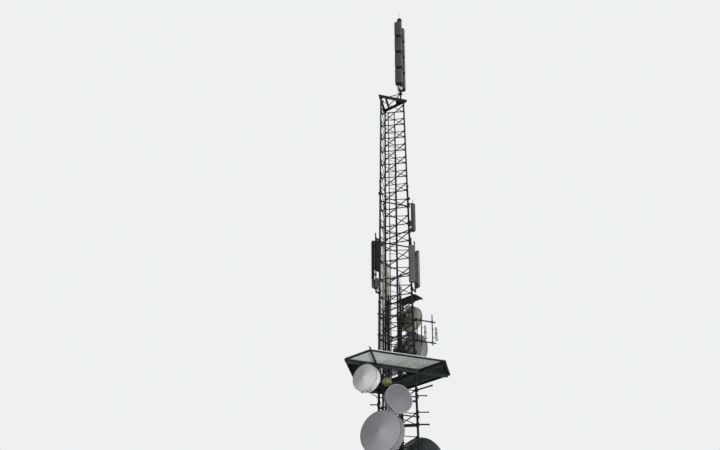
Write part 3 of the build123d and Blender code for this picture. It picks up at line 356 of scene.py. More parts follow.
def box(width: float, depth: float, chamfer: float = 0.0) -> Array:
    """Rectangle about the middle, anticlockwise, with its corners cut by a chamfer."""
    x, y, c = width / 2, depth / 2, chamfer
    if not chamfer:
        return np.array(((-x, -y), (x, -y), (x, y), (-x, y)))
    return np.array(((c - x, -y), (x - c, -y), (x, c - y), (x, y - c), (x - c, y), (c - x, y), (-x, y - c),
                     (-x, c - y)))


def angle_bar(width: float, depth: float, wall: float) -> Array:
    """L section about the middle of its bounding box, anticlockwise."""
    x, y = width / 2, depth / 2
    return np.array(((-x, -y), (x, -y), (x, wall - y), (wall - x, wall - y), (wall - x, y), (-x, y)))


def channel(width: float, depth: float, wall: float) -> Array:
    """U section, open towards +X, about the middle of its bounding box, anticlockwise."""
    x, y = width / 2, depth / 2
    return np.array(((-x, -y), (x, -y), (x, wall - y), (wall - x, wall - y), (wall - x, y - wall), (x, y - wall),
                     (x, y), (-x, y)))


def rounded(depth: float, width: float, front: float, back: float, steps: int = 5) -> Array:
    """Rectangle about the middle whose corners are arcs: corner centre + radius * (cos, sin).

    Args:
        depth: size along x, whose positive side is the front.
        width: size along y.
        front: radius of the two front corners.
        back: radius of the two back corners.
        steps: points on each arc.

    Returns:
        Closed outline, anticlockwise.
    """
    corners = []
    for turn, x, y, radius in ((180, -1, -1, back), (270, 1, -1, front), (0, 1, 1, front), (90, -1, 1, back)):
        arc = np.radians(turn + np.linspace(0, 90, steps))
        middle = (x * (depth / 2 - radius), y * (width / 2 - radius))
        corners.append(middle + np.stack((np.cos(arc), np.sin(arc)), axis=1) * radius)
    return np.concatenate(corners)


def both_ends(length: float, *stations: tuple[float, float]) -> list[tuple[float, float]]:
    """Stations of place and size near one end of a length, and their mirror image at its other end."""
    return [*stations, *((length - place, size) for place, size in reversed(stations))]


def eased(points: Sequence, rounds: int, count: int = 17) -> Array:
    """Path through a few points, with more points between them and its corners averaged away.

    Args:
        points: corners of the path.
        rounds: times that each point moves to the mean of itself, twice, and its neighbours.
        count: points of the finer path.

    Returns:
        The finer path.
    """
    points = np.stack(points)
    share, fine = np.linspace(0, 1, len(points)), np.linspace(0, 1, count)
    path = np.stack([np.interp(fine, share, column) for column in points.T], axis=1)
    for _ in range(rounds):
        path[1:-1] = (path[:-2] + 2 * path[1:-1] + path[2:]) / 4
    return path


class Skin:
    """Points and faces of one piece, gathered from surfaces; paint is the number of its finish."""

    SHIFT = FOOT_RADIUS * np.array((HALF_FACE, 0.5, 0.0))

    def __init__(self) -> None:
        """Starts with no surface."""
        self.points: list[Array] = []
        self.faces: list[list[int]] = []
        self.paints: list[int] = []
        self.count = self.paint = 0

    def add(self, points: Array, quads: Array, caps: Array | None = None) -> None:
        """Adds points with faces that number them from 0.

        Args:
            points: one row each.
            quads: corner numbers of the side faces.
            caps: corner numbers of the end faces.
        """
        before = len(self.faces)
        self.points.append(points.reshape(-1, 3))
        for block in (quads, caps):
            if block is not None:
                self.faces += (block + self.count).tolist()
        self.count += points.size // 3
        self.paints += [self.paint] * (len(self.faces) - before)

    def grid(self, rings: Array, closed: bool = False) -> None:
        """Adds a surface of two parameters: rings of points along a path, each closed on itself.

        Args:
            rings: points by ring, corner and coordinate, anticlockwise about the path.
            closed: whether the last ring joins the first; otherwise both ends get a cap.
        """
        number = np.arange(rings.size // 3).reshape(rings.shape[:2])
        caps = None if closed else np.stack((number[0][::-1], number[-1]))
        if closed:
            number = np.concatenate((number, number[:1]))
        after = np.roll(number, -1, axis=1)
        self.add(rings, np.stack((number[:-1], after[:-1], after[1:], number[1:]), axis=-1).reshape(-1, 4), caps)

    def prisms(self, rings: Array) -> None:
        """Adds many straight solids at once, each with a cap on both ends.

        Args:
            rings: points by solid, end, corner and coordinate.
        """
        number = np.arange(rings.size // 3).reshape(rings.shape[:3])
        after = np.roll(number, -1, axis=2)
        quads = np.stack((number[:, 0], after[:, 0], after[:, 1], number[:, 1]), axis=-1).reshape(-1, 4)
        self.add(rings, quads, np.concatenate((number[:, 0, ::-1], number[:, 1])))

    def sweep(self, path: Array, profile: Array, up: Array = UP, scale: Array | float = 1.0) -> None:
        """Carries a profile along a path: point = path + (first axis * x + second axis * y) * scale.

        Args:
            path: points along the way.
            profile: closed outline, anticlockwise.
            up: direction that the profile's x stays near.
            scale: size of the profile at each point.
        """
        path = np.asarray(path, dtype=float)
        size = np.broadcast_to(np.asarray(scale, dtype=float).reshape(-1, 1, 1), (len(path), 1, 1))
        self.grid(path[:, None] + laid(*square(unit(np.gradient(path, axis=0)), up), profile) * size)

    def bars(self, starts: Array, ends: Array, profile: Array, up: Array = UP) -> None:
        """Adds many straight closed bars at once, each a profile carried from its start to its end.

        Args:
            starts: start of each bar.
            ends: end of each bar.
            profile: closed outline, anticlockwise.
            up: direction, or one for each bar, that the profile's x stays near.
        """
        starts, ends = np.broadcast_arrays(np.atleast_2d(starts).astype(float), np.atleast_2d(ends).astype(float))
        ring = laid(*square(unit(ends - starts), up), profile)
        self.prisms(np.stack((starts[:, None] + ring, ends[:, None] + ring), axis=1))

    def block(self, place: Array, way: Array, low: float, high: float, profile: Array, up: Array = UP) -> None:
        """Adds one straight bar, or several, along a direction and between two distances from a place."""
        self.bars(place + way * low, place + way * high, profile, up)

    def across(self, ends: Sequence, turn: float, profile: Array, up: Array = UP) -> None:
        """Adds one straight bar between two ends that are given on the front face and turned."""
        self.bars(*turned(ends, turn), profile, up)

    def lathe(self, origin: Array, axis: Array, profile: Sequence[tuple[float, float]], sides: int = 24) -> None:
        """Turns a profile about an axis: point = origin + axis * height + radius * (cos, sin) round it.

        Args:
            origin: point on the axis at height 0.
            axis: direction of growing height.
            profile: radius and height of each ring, from the lowest end to the highest.
            sides: corners of each ring.
        """
        axis = unit(axis)
        first, second = square(axis, X if abs(axis[2]) > 0.7 else UP)
        ring = disc(1.0, sides) @ np.stack((first, second))
        radius, height = np.asarray(profile, dtype=float).T[:, :, None]
        self.grid((origin + height * axis)[:, None] + ring * radius[:, None])

    def upright(self, place: Array, bearing: float, profile: Array, stations: Sequence[tuple[float, float]]) -> None:
        """Adds an upright body: point = place + height * up + outline * size, for stations of height and size."""
        height, size = np.array(stations, dtype=float).T
        self.sweep(place + height[:, None] * UP, profile, heading(bearing), size)

    def plates(self, outline: Array, origins: Array, across: Array, along: Array, thickness: float) -> None:
        """Adds many flat plates of one outline, each extruded square to its own two directions.

        Args:
            outline: closed outline, anticlockwise, in the two directions.
            origins: middle of each plate's thickness, where the outline's zero is.
            across: first direction of each plate.
            along: second direction of each plate.
            thickness: plate thickness.
        """
        origins = np.atleast_2d(origins)[:, None]
        across, along = (np.broadcast_to(unit(side), (len(origins), 3)) for side in (across, along))
        half = unit(np.cross(across, along))[:, None] * thickness / 2
        flat = laid(across, along, outline)
        self.prisms(np.stack((origins - half + flat, origins + half + flat), axis=1))

    def bolts(self, places: Array, axes: Array, across: float = 0.024, height: float = 0.012) -> None:
        """Adds hexagon heads, each standing from its place along its axis.

        Args:
            places: middle of each head's foot.
            axes: direction of each head.
            across: width across the flats.
            height: height of a head.
        """
        places = np.atleast_2d(places)
        axes = np.broadcast_to(unit(axes), places.shape)
        self.block(places, axes, -0.002, height, disc(across / 2 / math.cos(math.pi / 6), 6),
                   np.where(np.abs(axes[:, 2:]) > 0.7, X, UP))

    def u_bolt(self, place: Array, axis: Array, back: Array, radius: float, rod: float, leg: float) -> None:
        """Rod bent round a pipe: half a circle on the far side and two straight legs that run back.

        Args:
            place: point on the pipe's axis.
            axis: direction of the pipe.
            back: direction in which the legs run.
            radius: outer radius of the pipe.
            rod: radius of the rod.
            leg: length of the legs from the pipe's axis.
        """
        axis, back = unit(axis), unit(back)
        turn = np.linspace(0, np.pi, 9)[:, None]
        side = np.cross(axis, back) * (radius + rod)
        arc = np.cos(turn) * side - np.sin(turn) * back * (radius + rod)
        path = np.concatenate(([side + back * leg], arc, [back * leg - side])) + place
        self.sweep(path, disc(rod, 6), axis)
        for sign in (-1, 1):
            self.bolts(place + side * sign + back * (leg - 0.014), back, 3.6 * rod, 2 * rod)

    def connectors(self, place: Array, along: Array, count: int, pitch: float, radius: float = 0.012,
                   drop: float = 0.045) -> None:
        """Row of coaxial sockets with knurled nuts and boots that hang below a housing.

        Args:
            place: middle of the row on the housing's underside.
            along: direction of the row.
            count: number of sockets.
            pitch: distance between them.
            radius: radius of a nut.
            drop: length below the housing.
        """
        for number in range(count):
            foot = place + along * (number - (count - 1) / 2) * pitch - UP * drop
            self.lathe(foot, UP, ((radius * 0.45, 0.0), (radius * 0.75, 0.004), (radius * 0.8, drop * 0.45),
                                  (radius, drop * 0.5), (radius, drop * 0.9), (radius * 1.2, drop * 0.92),
                                  (radius * 1.2, drop + 0.001)), 10)

    def capped_pipe(self, start: Array, end: Array, diameter: float, sides: int = 16) -> None:
        """Pipe with a pressed cap in each end.

        Args:
            start: one end of the axis.
            end: other end of the axis.
            diameter: outer diameter.
            sides: corners of the section.
        """
        run, half = np.subtract(end, start), diameter / 2
        caps = both_ends(float(np.linalg.norm(run)), (0.0, half * 0.8), (0.002, half * 0.92), (0.004, half * 0.92),
                         (0.004, half))
        self.lathe(start, run, [(radius, place) for place, radius in caps], sides)

    def piece(self, name: str, slot: Slot, finishes: Sequence[Finish],
              replaces: Sequence[str] = ()) -> bpy.types.Object:
        """Makes the piece from what was gathered, and lets it ride on the tower.

        Args:
            name: the piece's name.
            slot: not used.
            finishes: one finish for each paint number used.
            replaces: CAD nodes that it stands for.

        Returns:
            The new object.
        """
        mesh = bpy.data.meshes.new(name)
        mesh.from_pydata((np.concatenate(self.points) + self.SHIFT).tolist(), (), self.faces)
        mesh.polygons.foreach_set("material_index", self.paints)
        mesh.shade_smooth()
        mesh.set_sharp_from_angle(angle=math.radians(CREASE))
        for finish in finishes:
            mesh.materials.append(finish.build())
        piece = bpy.data.objects.new(name, mesh)
        bpy.context.scene.collection.objects.link(piece)
        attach(piece, "root")
        if replaces:
            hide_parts(*replaces)
        log.info("%s: %d faces", name, len(mesh.polygons))
        return piece


# ---------------------------------------------------------------- trunk


@dataclass(frozen=True)
class Trunk:
    """Three leaning legs joined by zigzag lacing: where they are at each height, for every other class."""

    foot_radius: float = FOOT_RADIUS
    lean: float = 0.02065
    height: float = 33.9
    joints: tuple[float, ...] = (11.4, 22.94, 29.17)
    bars: tuple[int, ...] = (18, 22, 14, 13)
    lacing_foot: float = 0.212
    diameters: tuple[float, ...] = (0.1143, 0.1016, 0.0889, 0.0761)
    legs: tuple[float, ...] = (LEFT_LEG, RIGHT_LEG, REAR_LEG)
    turns: tuple[float, ...] = (FRONT_FACE, RIGHT_FACE, LEFT_FACE)

    def radius(self, z: Array | float) -> Array | float:
        """Radius of the circle through the leg axes at a height."""
        return self.foot_radius - self.lean * z

    def diameter(self, z: Array | float) -> Array:
        """Outer diameter of a leg at a height."""
        return np.array(self.diameters)[np.searchsorted(self.joints, z, side="right")]

    def half(self, z: float) -> float:
        """Outer radius of a leg at a height."""
        return float(self.diameter(z)) / 2

    def leg(self, angle: float, z: Array | float) -> Array:
        """Points on a leg's axis at heights."""
        z = np.asarray(z, dtype=float)[..., None]
        return heading(angle) * self.radius(z) + UP * z

    def levels(self, share: float) -> Array:
        """Heights within the equal rises of the lacing; a share of 0.5 gives its joints."""
        return np.concatenate([low + (high - low) * (np.arange(bars) + share) / bars for low, high, bars in
                               zip((self.lacing_foot, *self.joints), (*self.joints, self.height), self.bars)])

    def clear(self, z: float) -> float:
        """Height nearest to z that is midway between two lacing joints and away from the leg joints."""
        middles = np.setdiff1d(self.levels(0.0), (self.lacing_foot, *self.joints))
        return float(middles[np.argmin(np.abs(middles - z))])

    def face(self, turn: float, x: Array, z: Array, out: float = 0.0) -> Array:
        """Points on the sloping plane of a face, at places across it and heights."""
        x, z = np.broadcast_arrays(np.asarray(x, dtype=float), np.asarray(z, dtype=float))
        return turned(np.stack((x, -self.radius(z) / 2 - out, z), axis=-1), turn)

    def beside(self, turn: float, side: int, z: float, out: float) -> Array:
        """Point outside one of a face's two legs, at a distance from the tower axis."""
        return turned((side * HALF_FACE * self.radius(z), -out, z), turn)

    def lacing(self, turn: float) -> Array:
        """Lacing joints of a face, by turns on its left and right leg."""
        z = self.levels(0.5)
        side = 2.0 * (np.arange(len(z)) % 2) - 1
        return self.face(turn, side * (HALF_FACE * self.radius(z) - self.diameter(z) / 2 - SEAT), z)

    def offset(self, underside: float, half_depth: float) -> float:
        """Distance from the tower axis to the middle of a body that lies outside the legs of a face."""
        return float(self.radius(underside) / 2 + self.half(underside) + SEAT + half_depth)


TRUNK = Trunk()


def leg_grip(skin: Skin, angle: float, z: float, out: Array, tall: float = 0.05) -> None:
    """U-bolts round a leg above and below something that lies against it.

    Args:
        skin: surfaces to add to.
        angle: bearing of the leg.
        z: middle height.
        out: level direction from the leg to what it carries.
        tall: distance of each U-bolt from the middle height.
    """
    for level in (z - tall, z + tall):
        half = TRUNK.half(level)
        skin.u_bolt(TRUNK.leg(angle, level), UP, out, half + 0.001, 0.006, half + 0.03)


def pipe_grip(skin: Skin, place: Array, back: Array, half: float, tall: float, rod: float, leg: float) -> None:
    """U-bolts round an upright pipe above and below a place.

    Args:
        skin: surfaces to add to.
        place: point on the pipe's axis.
        back: direction in which the legs run.
        half: radius of the pipe.
        tall: distance of each U-bolt from the place.
        rod: radius of the rod.
        leg: length of the legs from the pipe's axis.
    """
    for rise in (-tall, tall):
        skin.u_bolt(place + UP * rise, UP, back, half + 0.001, rod, leg)


@dataclass
class Legs:
    """Three legs of round tube in four sections, with bolted flange pairs at the joints."""

    sides: int = 20
    foot: float = 0.032
    flange: float = 0.022
    overhang: float = 0.018
    weld: float = 0.005
    gap: float = 0.001
    flange_bolts: int = 10

    def build(self) -> None:
        """Makes the legs, each of level rings up its axis: point = axis(z) + r(z) * (cos, sin)."""
        foot = TRUNK.diameters[0] / 2
        rings = [(self.foot, foot + 0.008), (self.foot + 0.008, foot)]
        for joint, below, above in zip(TRUNK.joints, TRUNK.diameters, TRUNK.diameters[1:]):
            low, high, rim, f, g = below / 2, above / 2, below / 2 + self.overhang, self.flange, self.gap
            rings += [(joint + rise, radius) for rise, radius in (
                (-f - 0.01, low), (-f, low + self.weld), (-f, rim), (-g, rim), (-g, rim - 0.004), (g, rim - 0.004),
                (g, rim), (f, rim), (f, high + self.weld), (f + 0.01, high))]
        heights, radii = np.array((*rings, (TRUNK.height, TRUNK.diameters[-1] / 2))).T
        for name, angle in zip(("front_left", "front_right", "rear"), TRUNK.legs):
            skin = Skin()
            skin.grid(TRUNK.leg(angle, heights)[:, None] + radii[:, None, None] * self.ring(1.0, self.sides))
            skin.paint = 1
            for joint in TRUNK.joints:
                bolts = self.ring(TRUNK.half(joint - 0.1) + self.overhang / 2 + 0.001, self.flange_bolts)
                for side in (-1, 1):
                    skin.bolts(TRUNK.leg(angle, joint + side * self.flange) + bolts, UP * side, 0.013, 0.008)
            skin.piece(f"leg_tube_{name}", Slot.DARK_STEEL, (STEEL, FASTENER), (f"leg_{name}",))

    def ring(self, radius: float, sides: int) -> Array:
        """Level circle of a number of corners."""
        return np.pad(disc(radius, sides), ((0, 0), (0, 1)))


@dataclass
class Lacing:
    """Zigzag of steel angles between gusset plates on the legs of one face and section."""

    section: tuple[float, float, float] = (0.030, 0.038, 0.005)
    lap: float = 0.040
    plate: float = 0.006
    gusset: tuple[float, float, float] = (0.112, 0.055, 0.038)
    bolt_pitch: float = 0.036

    def build(self) -> None:
        """Makes the twelve stretches."""
        for face, turn in zip(("front", "right", "left"), TRUNK.turns):
            joints, first = TRUNK.lacing(turn), 0
            for number, count in enumerate(TRUNK.bars, 1):
                last = min(first + count, len(joints) - 1)
                skin = Skin()
                self.stretch(skin, turn, joints, first, last)
                skin.piece(f"lacing_{face}_{number}", Slot.DARK_STEEL, (STEEL, FASTENER), (f"bracing_{face}_{number}",))
                first += count

    def stretch(self, skin: Skin, turn: float, joints: Array, first: int, last: int) -> None:
        """Angles from joint to joint, turned over from one to the next, with their plates and bolts.

        Args:
            skin: surfaces to add to.
            turn: turn of the face about the tower axis.
            joints: all lacing joints of the face.
            first: number of the first bar.
            last: number after the last bar.
        """
        normal = turned(unit((0.0, -1.0, TRUNK.lean / 2)), turn)
        places = joints[first:last + (last == len(joints) - 1)]
        flip = np.where(np.arange(first, first + len(places)) % 2 == 0, 1.0, -1.0)[:, None]
        starts, ends = joints[first:last], joints[first + 1:last + 1]
        run, out = unit(ends - starts), normal * flip[:last - first]
        skin.bars(starts + run * self.lap, ends - run * self.lap, angle_bar(*self.section), -out)
        reach, tall, short = self.gusset
        outline = np.array(((0.0, -tall), (reach, -short), (reach, short), (0.0, tall)))
        inward = flip * turned(X, turn)
        skin.plates(outline, places - inward * 0.002, inward, turned((0.0, TRUNK.lean / 2, 1.0), turn), self.plate)
        skin.paint = 1
        for at, way in ((starts, run), (ends, -run)):
            for shift in (0.0, self.bolt_pitch):
                skin.bolts(at + way * (self.lap + 0.018 + shift) + out * self.section[0] / 2, out, 0.019, 0.009)


@dataclass
class Anchors:
    """Anchor bolts with washers and nuts on the foot plates, whose CAD solids stay."""

    circle: float = 0.300
    count: int = 4
    plate: float = 0.032
    bolt: float = 0.030

    def build(self) -> None:
        """Makes the anchors."""
        skin, half, top = Skin(), self.bolt / 2, self.plate
        for leg in TRUNK.legs:
            for number in range(self.count):
                place = TRUNK.leg(leg, 0.0) + heading(leg + 45 + 360 / self.count * number) * self.circle / 2
                skin.lathe(place, UP, ((half, 0.002), (half, top + 0.075), (half - 0.003, top + 0.08)), 12)
                skin.lathe(place, UP, ((0.032, top + SEAT), (0.032, top + 0.005)), 18)
                for rise, tall in ((0.005, 0.024), (0.031, 0.014)):
                    skin.bolts(place + UP * (top + rise), UP, 0.046, tall)
        skin.piece("anchor_bolts", Slot.BRACKET_STEEL, (ZINC,))


@dataclass
class Ladder:
    """Climbing ladder: channel rails, round rungs, splices, and flat brackets bolted to the front lacing."""

    place: tuple[float, float, float] = (-0.015, -0.220, 0.0)
    half: float = 0.155
    rail: tuple[float, float, float] = (0.040, 0.020, 0.0035)
    foot: float = 0.300
    head: float = 33.2
    rung: float = 0.022
    pitch: float = 0.380
    bracket: tuple[float, float] = (0.008, 0.040)
    bracket_half: float = 0.130
    bracket_step: int = 4
    splice_pitch: float = 5.7

    def build(self) -> None:
        """Makes the ladder."""
        skin, middle, edge = Skin(), np.array(self.place), self.half - self.rail[0] / 2
        sides = np.array((-1.0, 1.0))[:, None] * X
        skin.block(middle + sides * self.half, UP, self.foot, self.head, channel(*self.rail), sides)
        heights = np.arange(self.foot + self.pitch / 2, self.head - self.pitch / 2, self.pitch)[:, None] * UP
        inner = edge + self.rail[2] + 0.004
        skin.block(middle + heights, X, -inner, inner, disc(self.rung / 2, 10))
        splices = np.arange(self.splice_pitch, self.head, self.splice_pitch)
        for side in (-X, X):
            places = middle + side * (edge + 0.001) + splices[:, None] * UP
            skin.plates(box(0.017, 0.22), places, Y, UP, 0.006)
            for rise in (-0.08, -0.03, 0.03, 0.08):
                skin.bolts(places + UP * rise - side * 0.003, -side, 0.013, 0.007)
        self.brackets(skin)
        skin.piece("ladder", Slot.LADDER_STEEL, (GRATING,), ("climbing_ladder",))

    def brackets(self, skin: Skin) -> None:
        """Flat bars from the rails to where the lacing passes, each on a clip with a bolt.

        Args:
            skin: surfaces to add to.
        """
        joints = TRUNK.lacing(FRONT_FACE)
        for number in range(self.bracket_step, len(joints) - 2, self.bracket_step):
            start, end = joints[number], joints[number + 1]
            for side in (-1, 1):
                x = self.place[0] + side * self.bracket_half
                z = start[2] + (x - start[0]) / (end[0] - start[0]) * (end[2] - start[2])
                if z + 0.024 > self.head:
                    continue
                back = np.array((x, -TRUNK.radius(z) / 2 + 0.0155, z))
                skin.bars((x, self.place[1], z), back, box(*self.bracket))
                skin.block(back, UP, -0.035, 0.035, box(0.040, 0.005), X)
                skin.bolts(back + (0, 0.0025, 0.022), Y, 0.017, 0.009)


@dataclass
class Cable:
    """Upright cable that is held at equal pitches and hangs a little to and fro between its holders."""

    diameter: float
    foot: float
    head: float
    sway: float = 0.003
    pitch: float = 1.05

    def path(self, place: Array, top: Array, side: Array, phase: float) -> Array:
        """Points up the cable: place + (top - place) * share + side * sway * sin(2 pi z / (2 pitch) + phase).

        Args:
            place: foot of the cable.
            top: head of the cable.
            side: direction of the sway.
            phase: start of the wave in radians.

        Returns:
            Points from the foot to the head.
        """
        waves = (self.head - self.foot) / self.pitch
        share = np.linspace(0, 1, max(int(waves * 4), 4))[:, None]
        return place + (top - place) * share + side * np.sin(np.pi * share * waves + phase) * self.sway


@dataclass
class Bundle:
    """Seven black cables strapped together in front of the ladder's right rail."""

    place: tuple[float, float, float] = (0.1653, -0.2603, 0.0)
    foot: float = 0.4
    head: float = 32.6
    cable: float = 0.0165
    circle: float = 0.0170
    drop: float = 0.35
    strap_pitch: float = 1.05

    def build(self) -> None:
        """Makes the cables, and the straps that close round them."""
        skin, middle = Skin(), np.array(self.place)
        for number in range(7):
            away, side = axes(number * 60.0)
            place = middle + away * (self.circle if number else 0.0)
            cable = Cable(self.cable, self.foot, self.head - self.drop * number, 0.0012, self.strap_pitch)
            path = cable.path(place + UP * cable.foot, place + UP * cable.head, side, number * 1.3)
            skin.sweep(path, disc(self.cable / 2, 8), X)
        skin.paint = 1
        for z in np.arange(self.foot + 0.3, self.head - 0.4, self.strap_pitch):
            skin.lathe(middle + UP * z, UP, ((0.0258, -0.014), (0.0262, -0.01), (0.0262, 0.01), (0.0258, 0.014)), 14)
        skin.piece("strapped_cables", Slot.CABLE_BLACK, (JACKET_BLACK, ZINC), ("cable_bundle",))


@dataclass
class Feeders:
    """Feeder cables side by side on the inner side of one face, in hangers, with booted tails at their heads."""

    name: str
    turn: float
    finish: Finish
    slot: Slot
    runs: tuple[tuple[float, float], ...]
    foot: float = 0.4
    pitch: float = 0.056
    depth: float = 0.0153
    hanger_pitch: float = 1.05
    splice: float = 22.8
    shift: float = 0.0

    def build(self) -> None:
        """Makes the cables, their boots and their hangers; below the splice the jackets are black."""
        skin = Skin()
        side, inner = turned(X, self.turn), turned(Y, self.turn)
        for number, (diameter, head) in enumerate(self.runs):
            across, half = self.shift + (number - (len(self.runs) - 1) / 2) * self.pitch, diameter / 2
            out = -self.depth - half - 0.001
            cable = Cable(diameter, self.foot, head, 0.0025, self.hanger_pitch)
            foot, top = TRUNK.face(self.turn, across, (self.foot, head), out)
            path = cable.path(foot, top, side, number * 0.9)
            cut = int(np.searchsorted(path[:, 2], self.splice))
            skin.paint = 2
            skin.sweep(path[:cut + 1], disc(half), side)
            if cut < len(path) - 2:
                skin.paint = 0
                skin.sweep(path[cut:], disc(half), side)
                skin.paint = 1
                skin.lathe(path[cut], UP, [(diameter * size, rise) for rise, size in
                                           ((-0.06, 0.52), (-0.05, 0.6), (0.05, 0.6), (0.06, 0.52))], 12)
            skin.paint = 1
            skin.lathe(top - UP * 0.16, UP, ((diameter * 0.54, 0.0), (diameter * 0.62, 0.02), (diameter * 0.62, 0.12),
                                             (diameter * 0.45, 0.155), (0.009, 0.17)), 12)
            for z in self.hangers(head):
                place = TRUNK.face(self.turn, across, z, out)
                skin.lathe(place, UP, ((half + 0.001, -0.017), (half + 0.004, -0.014), (half + 0.004, 0.014),
                                       (half + 0.001, 0.017)), 12)
                skin.bolts(place + inner * (half + 0.003), inner, 0.014, 0.012)
        reach, z = len(self.runs) / 2 * self.pitch, self.hangers(max(head for _, head in self.runs))
        ends = [TRUNK.face(self.turn, self.shift + way * reach, z, -self.depth - 0.002) for way in (-1, 1)]
        skin.bars(*ends, angle_bar(0.028, 0.004, 0.003))
        skin.piece(f"feeders_{self.name}", self.slot, (self.finish, ZINC, JACKET_BLACK),
                   () if self.shift else (f"feeder_cables_{self.name}",))

    def hangers(self, head: float) -> Array:
        """Heights of the hangers below a cable's head, and of the angles that carry them."""
        return np.arange(self.foot + 0.45, head - 0.3, self.hanger_pitch)


@dataclass
class Riser:
    """Black cables side by side on a narrow cable ladder beside the climbing ladder."""

    name: str
    x: float
    heads: tuple[float, ...]
    y: float = -0.262
    foot: float = 0.4
    cable: float = 0.032
    pitch: float = 0.036
    cleat_pitch: float = 1.05
    rail: tuple[float, float] = (0.030, 0.004)
    rail_depth: float = 0.046
    splice: float = 30.0

    def build(self) -> None:
        """Makes the cables in two layers, their cleats, and the rails that the cleats are bolted to."""
        skin, count, middle = Skin(), len(self.heads), np.array((self.x, self.y, 0.0))
        for number, head in enumerate(self.heads):
            across = (number // 2 - (count / 2 - 1) / 2) * self.pitch
            place = middle + (across, 0.036 * (number % 2) - 0.019, 0.0)
            cable = Cable(self.cable, self.foot, head, 0.002, self.cleat_pitch)
            path = cable.path(place + UP * self.foot, place + UP * head, X, number * 1.7)
            cut = int(np.searchsorted(path[:, 2], self.splice))
            skin.paint = 0
            skin.sweep(path[:cut + 1], disc(self.cable / 2, 8), Y)
            skin.paint = 2
            if cut < len(path) - 2:
                skin.sweep(path[cut:], disc(self.cable / 2, 8), Y)
            skin.lathe(place + UP * (head - 0.12), UP, ((0.017, 0.0), (0.021, 0.015), (0.021, 0.10), (0.012, 0.13)), 10)
        half, top = count / 4 * self.pitch + 0.012, max(self.heads)
        cleats = middle + np.arange(self.foot + 0.4, top, self.cleat_pitch)[:, None] * UP
        skin.paint = 1
        for depth in (-0.041, 0.041):
            skin.block(cleats + Y * depth, X, -half, half, box(0.034, 0.006))
        rails = middle + X * half * np.array((-1.0, 1.0))[:, None] + Y * self.rail_depth
        skin.block(rails, UP, self.foot, top - 0.1, box(*self.rail), Y)
        near = cleats + Y * self.rail_depth
        skin.bars(near, near * (0, 1, 1) + X * (math.copysign(0.135, self.x) - 0.015), box(0.030, 0.006))
        skin.piece(f"riser_{self.name}", Slot.CABLE_BLACK, (JACKET_BLACK, ZINC, JACKET_GREY))


@dataclass
class CableBridge:
    """Square tube from the front right leg to the right hand riser."""

    leg: float = RIGHT_LEG
    end: tuple[float, float, float] = (0.345, -0.25, 17.42)
    side: float = 0.110

    def build(self) -> None:
        """Makes the tube with its end plates, and its grips on the leg."""
        skin, end, z = Skin(), np.array(self.end), self.end[2]
        way = unit(end - TRUNK.leg(self.leg, z))
        near = TRUNK.leg(self.leg, z) + way * (TRUNK.half(z) + 0.006)
        skin.bars(near, end, box(self.side, self.side, 0.010))
        for place in (near, end):
            skin.block(place, way, 0.0, 0.010, box(0.16, 0.15, 0.010))
        leg_grip(skin, self.leg, z, way, 0.066)
        skin.piece("cable_bridge", Slot.DARK_STEEL, (STEEL,))


# ---------------------------------------------------------------- head


@dataclass
class Clamp:
    """Pair of V jaws round an upright pole, drawn together by threaded rods."""

    diameter: float
    height: float = 0.050
    wall: float = 0.024
    gap: float = 0.004

    def build(self, skin: Skin, place: Array, bearing: float) -> None:
        """Adds the jaws, the rods and their nuts.

        Args:
            skin: surfaces to add to.
            place: point on the pole's axis at the middle of the clamp.
            bearing: direction in which the jaws close.
        """
        notch, gap, (run, side) = self.diameter / math.sqrt(2) + 0.0005, self.gap, axes(bearing)
        outer = notch + self.wall
        jaw = np.array(((gap, -outer), (outer, -outer), (outer, outer), (gap, outer), (gap, notch - gap), (notch, 0.0),
                        (gap, gap - notch)))
        for way in (1, -1):
            skin.plates(jaw, place, run * way, side * way, self.height)
        for sign in (-1, 1):
            middle = place + side * (outer - 0.011) * sign
            skin.block(middle, run, -outer - 0.02, outer + 0.02, disc(0.006, 8))
            for way in (-run, run):
                skin.bolts(middle + way * outer, way, 0.019, 0.011)


